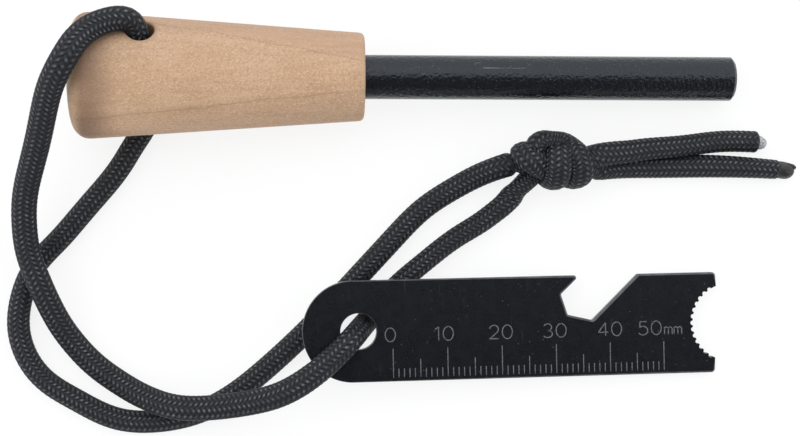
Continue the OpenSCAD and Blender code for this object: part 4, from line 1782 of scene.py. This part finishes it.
@dataclass
class Handle:
    """Turned handle: broadly rounded butt, cone, small rounding at the neck, rod socket and a cord eye."""

    length: float = 52.0
    butt_r: float = 11.5
    neck_r: float = 7.9
    butt_round: float = 3.2
    neck_round: float = 0.9
    socket_r: float = 4.22
    socket_depth: float = 33.1
    least_wall: float = 2.0
    eye_at: float = 12.5
    eye_r: float = 2.5
    eye_lip: float = 0.40
    eye_roll_deg: float = 45.0
    eye_fine: float = 4.2
    eye_step: float = 0.2
    neck_step_deg: float = 10.0
    butt_face: Spot = (0.02, 0.98)
    pole_r: float = 0.05
    butt_rows: int = 9
    round_rows: int = 14
    before_rows: int = 12
    after_rows: int = 40
    rim_rows: int = 6
    socket_rows: int = 12
    floor_rows: int = 4
    lip_rows: int = 4
    sides: int = 288

    def radius(self, x: Array) -> Array:
        """Radius of the turned side: the cone, cut back by a quarter round at each end.

        Args:
            x: Distance from the butt.

        Returns:
            Radii.
        """
        cone = self.butt_r + (self.neck_r - self.butt_r) * x / self.length
        low, high = self.butt_round - x, x - self.length + self.neck_round
        for size, past in ((self.butt_round, low), (self.neck_round, high)):
            cone = cone - (size - np.sqrt(np.clip(size**2 - np.clip(past, 0.0, None) ** 2, 0.0, None)))
        return cone

    def profile(self) -> Array:
        """Distances along the axis and radii, from the middle of the butt to the floor of the socket.

        The rows are the butt's face, its rounding, the cone with finer rows at the eye, the neck's rounding
        and rim, and the socket's wall and floor.

        Returns:
            Two columns.
        """
        head = self.butt_round * (1.0 - np.cos(np.linspace(0.0, math.pi / 2, self.round_rows)))
        turn = np.radians(np.arange(0.0, 90.0, self.neck_step_deg))
        tail = self.length - self.neck_round * (1.0 - np.sin(turn))
        eye = np.arange(self.eye_at - self.eye_fine, self.eye_at + self.eye_fine, self.eye_step)
        before = np.linspace(self.butt_round, eye[0], self.before_rows)[1:-1]
        after = np.linspace(eye[-1], tail[0], self.after_rows)[1:-1]
        side = np.concatenate([head, before, eye, after, tail])
        wall = self.radius(side)
        depth = np.linspace(0.0, self.socket_depth, self.socket_rows)[1:]
        bands = (
            (0.0, np.linspace(*self.butt_face, self.butt_rows) * wall[0]),
            (side, wall),
            (self.length, np.linspace(wall[-1], self.socket_r, self.rim_rows)[1:]),
            (self.length - depth, self.socket_r),
            (self.length - self.socket_depth, np.linspace(self.socket_r, self.pole_r, self.floor_rows)[1:]),
        )
        return np.concatenate([np.stack(np.broadcast_arrays(x, r), axis=1) for x, r in bands])

    def to_row(self, x: Array, out: Array, aside: Array) -> Array:
        """Points from the distance along the axis, along the eye, and across both.

        Args:
            x: Distance from the butt.
            out: Distance from the axis in the eye's direction.
            aside: Distance across.

        Returns:
            Points in the row frame.
        """
        roll, lean = math.radians(self.eye_roll_deg), math.radians(LIE.lean_deg)
        y = out * math.sin(roll) - aside * math.cos(roll)
        z = out * math.cos(roll) + aside * math.sin(roll)
        turned = [x * math.cos(lean) + z * math.sin(lean), y, z * math.cos(lean) - x * math.sin(lean)]
        return np.stack(turned, axis=-1) + np.array(LIE.butt_mid)

    def bore(self, surface: Surface, upper: Array, lower: Array, x: Array, out: Array, aside: Array) -> None:
        """Join the eye's two mouths by a quarter-round lip, the straight bore and the other lip.

        Args:
            surface: What the faces are added to.
            upper: Numbers of the upper mouth's points, in order round it.
            lower: Numbers of the lower mouth's points that mirror them.
            x: Distance of the upper points from the eye's axis, along the handle.
            out: Their distance from the handle's axis, along the eye.
            aside: Their distance across both.
        """
        mouth = self.eye_r + self.eye_lip
        t = np.linspace(0.0, math.pi / 2, self.lip_rows + 1)[1:, None]
        wide = mouth - self.eye_lip * np.sin(t)
        level = out - self.eye_lip * (1.0 - np.cos(t))
        wide, level = np.concatenate([wide, wide[::-1]]), np.concatenate([level, -level[::-1]])
        first = surface.add(self.to_row(self.eye_at + wide * (x / mouth), level, wide * (aside / mouth)))
        inner = first + np.arange(level.size).reshape(level.shape)
        numbers = np.concatenate([upper[None], inner, lower[None]])
        surface.add_faces(numbers.reshape(-1)[tube_faces(*numbers.shape)[:, ::-1]])

    def body(self) -> Piece:
        """Turn the profile about the axis, open the eye's two mouths and join them by the bore.

        Faces that reach into a mouth's circle are left out, and the points left on its border move onto the
        circle. The mouths mirror each other, so that border points with the same place across can be joined.

        Returns:
            The handle, which replaces its solid.
        """
        profile = self.profile()
        rows, turn = len(profile), circle(self.sides)
        along, r = (np.repeat(column, self.sides) for column in profile.T)
        out, aside = r * np.tile(np.cos(turn), rows), r * np.tile(np.sin(turn), rows)
        mouth = self.eye_r + self.eye_lip
        far = np.hypot(along - self.eye_at, aside)
        cut = (far < mouth) & (r > self.socket_r + self.least_wall)
        cut[: self.butt_rows * self.sides] = False
        faces = tube_faces(rows, self.sides)
        gone = cut[faces].any(1)
        border = np.zeros(cut.size, bool)
        border[faces[gone]] = True
        edge = np.flatnonzero(border & ~cut)
        sign, shrink = np.sign(out[edge]), mouth / far[edge]
        along[edge] = self.eye_at + (along[edge] - self.eye_at) * shrink
        aside[edge] *= shrink
        out[edge] = sign * np.sqrt(self.radius(along[edge]) ** 2 - aside[edge] ** 2)
        surface = Surface()
        first = surface.add(self.to_row(along, out, aside))
        surface.add_faces(first + faces[~gone])
        poles = self.to_row(profile[[0, -1], 0], np.zeros(2), np.zeros(2))
        surface.add_ends(first, rows, self.sides, poles)
        upper = edge[sign > 0]
        upper = upper[np.argsort(np.arctan2(aside[upper], along[upper] - self.eye_at))]
        lower = upper // self.sides * self.sides + (self.sides // 2 - upper % self.sides) % self.sides
        self.bore(surface, upper, lower, along[upper] - self.eye_at, out[upper], aside[upper])
        return surface.to_rigid("turned_handle", Body.FIRE_ROD, Slot.WOOD, "handle")

    def build(self) -> list[Piece]:
        """Build and dress the handle.

        Returns:
            The handle.
        """
        handle = self.body()
        dress(handle, WoodFinish().material())
        return [handle]


@dataclass
class RodInGlue:
    """The rod and the glue round its buried end, which keep their solids."""

    nodes: tuple[str, str] = ("ferro_rod", "rod_glue")

    def build(self) -> list[Piece]:
        """Dress both solids.

        Returns:
            The rod and the glue.
        """
        rod, glue = (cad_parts[node] for node in self.nodes)
        dress(rod, RodFinish().material())
        dress(glue, GlueFinish().material())
        return [rod, glue]


@dataclass(frozen=True)
class Studio:
    """White floor, a soft light box, a pale tent and the camera of the photograph."""

    clip: Spot = (0.01, 20.0)
    box_at: Point = (-0.25, 0.80, 0.95)
    box_size: Spot = (1.2, 0.8)
    box_watts: float = 1.4
    sky: Colour = (0.97, 0.985, 1.0)
    sky_level: float = 1.38
    least_height: float = 0.05
    shade_level: float = 0.20
    shade_from: float = -9.0
    shade_fade: float = 1.3
    shade_to: float = 0.08
    shade_mid: float = 0.12
    shade_half: float = 0.44
    soft: float = 0.05
    band_to: float = 0.55
    band_level: float = 0.75
    floor_half: float = 2.5
    floor_white: Colour = (0.90, 0.90, 0.90)
    floor_grey: Colour = (0.86, 0.86, 0.86)
    floor_cloud: Grain = Grain(90.0)
    grey_span: Span = (0.3, 0.7, 0.0, 0.02)
    glow: Colour = (1.0, 1.0, 1.0)
    glow_level: float = 1.04
    shadow_share: float = 0.20

    def camera(self) -> None:
        """Camera straight above, with the photograph's focal length."""
        data = bpy.data.cameras.new("camera")
        data.sensor_fit, data.sensor_width, data.lens = "HORIZONTAL", PHOTO.sensor, PHOTO.lens()
        data.clip_start, data.clip_end = self.clip
        eye = bpy.data.objects.new("camera", data)
        eye.location = tuple(v * MM for v in PHOTO.eye)
        bpy.context.scene.collection.objects.link(eye)
        bpy.context.scene.camera = eye

    def light(self) -> None:
        """The soft box, turned to the object."""
        data = bpy.data.lights.new("box_top", "AREA")
        data.shape, data.energy = "RECTANGLE", self.box_watts
        data.size, data.size_y = self.box_size
        lamp = bpy.data.objects.new("box_top", data)
        x, y, z = self.box_at
        lamp.location = self.box_at
        lamp.rotation_euler = (math.atan2(math.hypot(x, y), z), 0.0, math.atan2(x, -y))
        bpy.context.scene.collection.objects.link(lamp)

    def world(self) -> None:
        """Even pale tent with a darker patch overhead, where the camera and its stand are, and a bright band.

        The patch is bounded by a direction's slope y / z and by its own x; the band lies beyond the patch.
        """
        world = bpy.data.worlds.new("studio_tent")
        world.use_nodes = True
        world.node_tree.nodes.clear()
        g = Graph(world.node_tree)
        x, y, z = g.split(g.node("ShaderNodeTexCoord", {}, "Generated"))
        slope = y / g.math("MAXIMUM", z, self.least_height)
        edge, half, soft = self.shade_to, self.shade_half, self.soft
        patch = g.span(slope, self.shade_from * self.shade_fade, self.shade_from)
        patch = patch * g.span(slope, edge + soft, edge - soft)
        patch = patch * g.span(abs(x - self.shade_mid), half + soft, half - soft)
        band = g.span(slope, edge, edge + soft) * g.span(slope, self.band_to, edge + soft)
        level = band * self.band_level + self.sky_level
        strength = g.span(patch, 0.0, 1.0, level, self.shade_level, steps="LINEAR")
        back = g.node("ShaderNodeBackground", {"Color": self.sky, "Strength": strength})
        g.feed(g.tree.nodes.new("ShaderNodeOutputWorld").inputs["Surface"], back)
        bpy.context.scene.world = world

    def floor(self) -> None:
        """Pale floor: part of it glows white for the camera and in gloss, the rest takes light and shadow."""
        surface = Surface()
        corners = np.array([[-1, -1, 0], [1, -1, 0], [1, 1, 0], [-1, 1, 0]])
        first = surface.add(self.floor_half / MM * corners)
        surface.add_faces(first + np.arange(len(corners))[None], flat=True)
        plane = surface.to_object("floor")
        g = Graph.of_material("pale_floor")
        cloud = g.effect(self.floor_cloud, g.place())
        tone = g.mix(g.span(cloud, *self.grey_span), self.floor_white, self.floor_grey)
        lit = g.node("ShaderNodeBsdfDiffuse", {"Color": tone})
        glow = g.node("ShaderNodeEmission", {"Color": self.glow, "Strength": self.glow_level})
        rays = (f"Is {kind} Ray" for kind in ("Camera", "Glossy", "Transmission"))
        seen = g.highest(*(g.node("ShaderNodeLightPath", {}, ray) for ray in rays))
        share = seen * (1.0 - self.shadow_share)
        dress(plane, g.close(g.node("ShaderNodeMixShader", {0: share, 1: lit, 2: glow})))

    def build(self) -> None:
        """Camera, light, world and floor."""
        self.camera()
        self.light()
        self.world()
        self.floor()
        bpy.context.scene.view_settings.view_transform = "Standard"


def main() -> None:
    """Build the studio and then the object's parts, and report each piece."""
    logging.basicConfig(level=logging.INFO, format="%(name)s: %(message)s")
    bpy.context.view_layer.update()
    Studio().build()
    for part in (Lanyard(), Striker(), Handle(), RodInGlue()):
        for piece in part.build():
            log.info("%s: %d faces", piece.name, len(piece.data.polygons))
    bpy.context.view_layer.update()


if __name__ == "__main__":
    main()
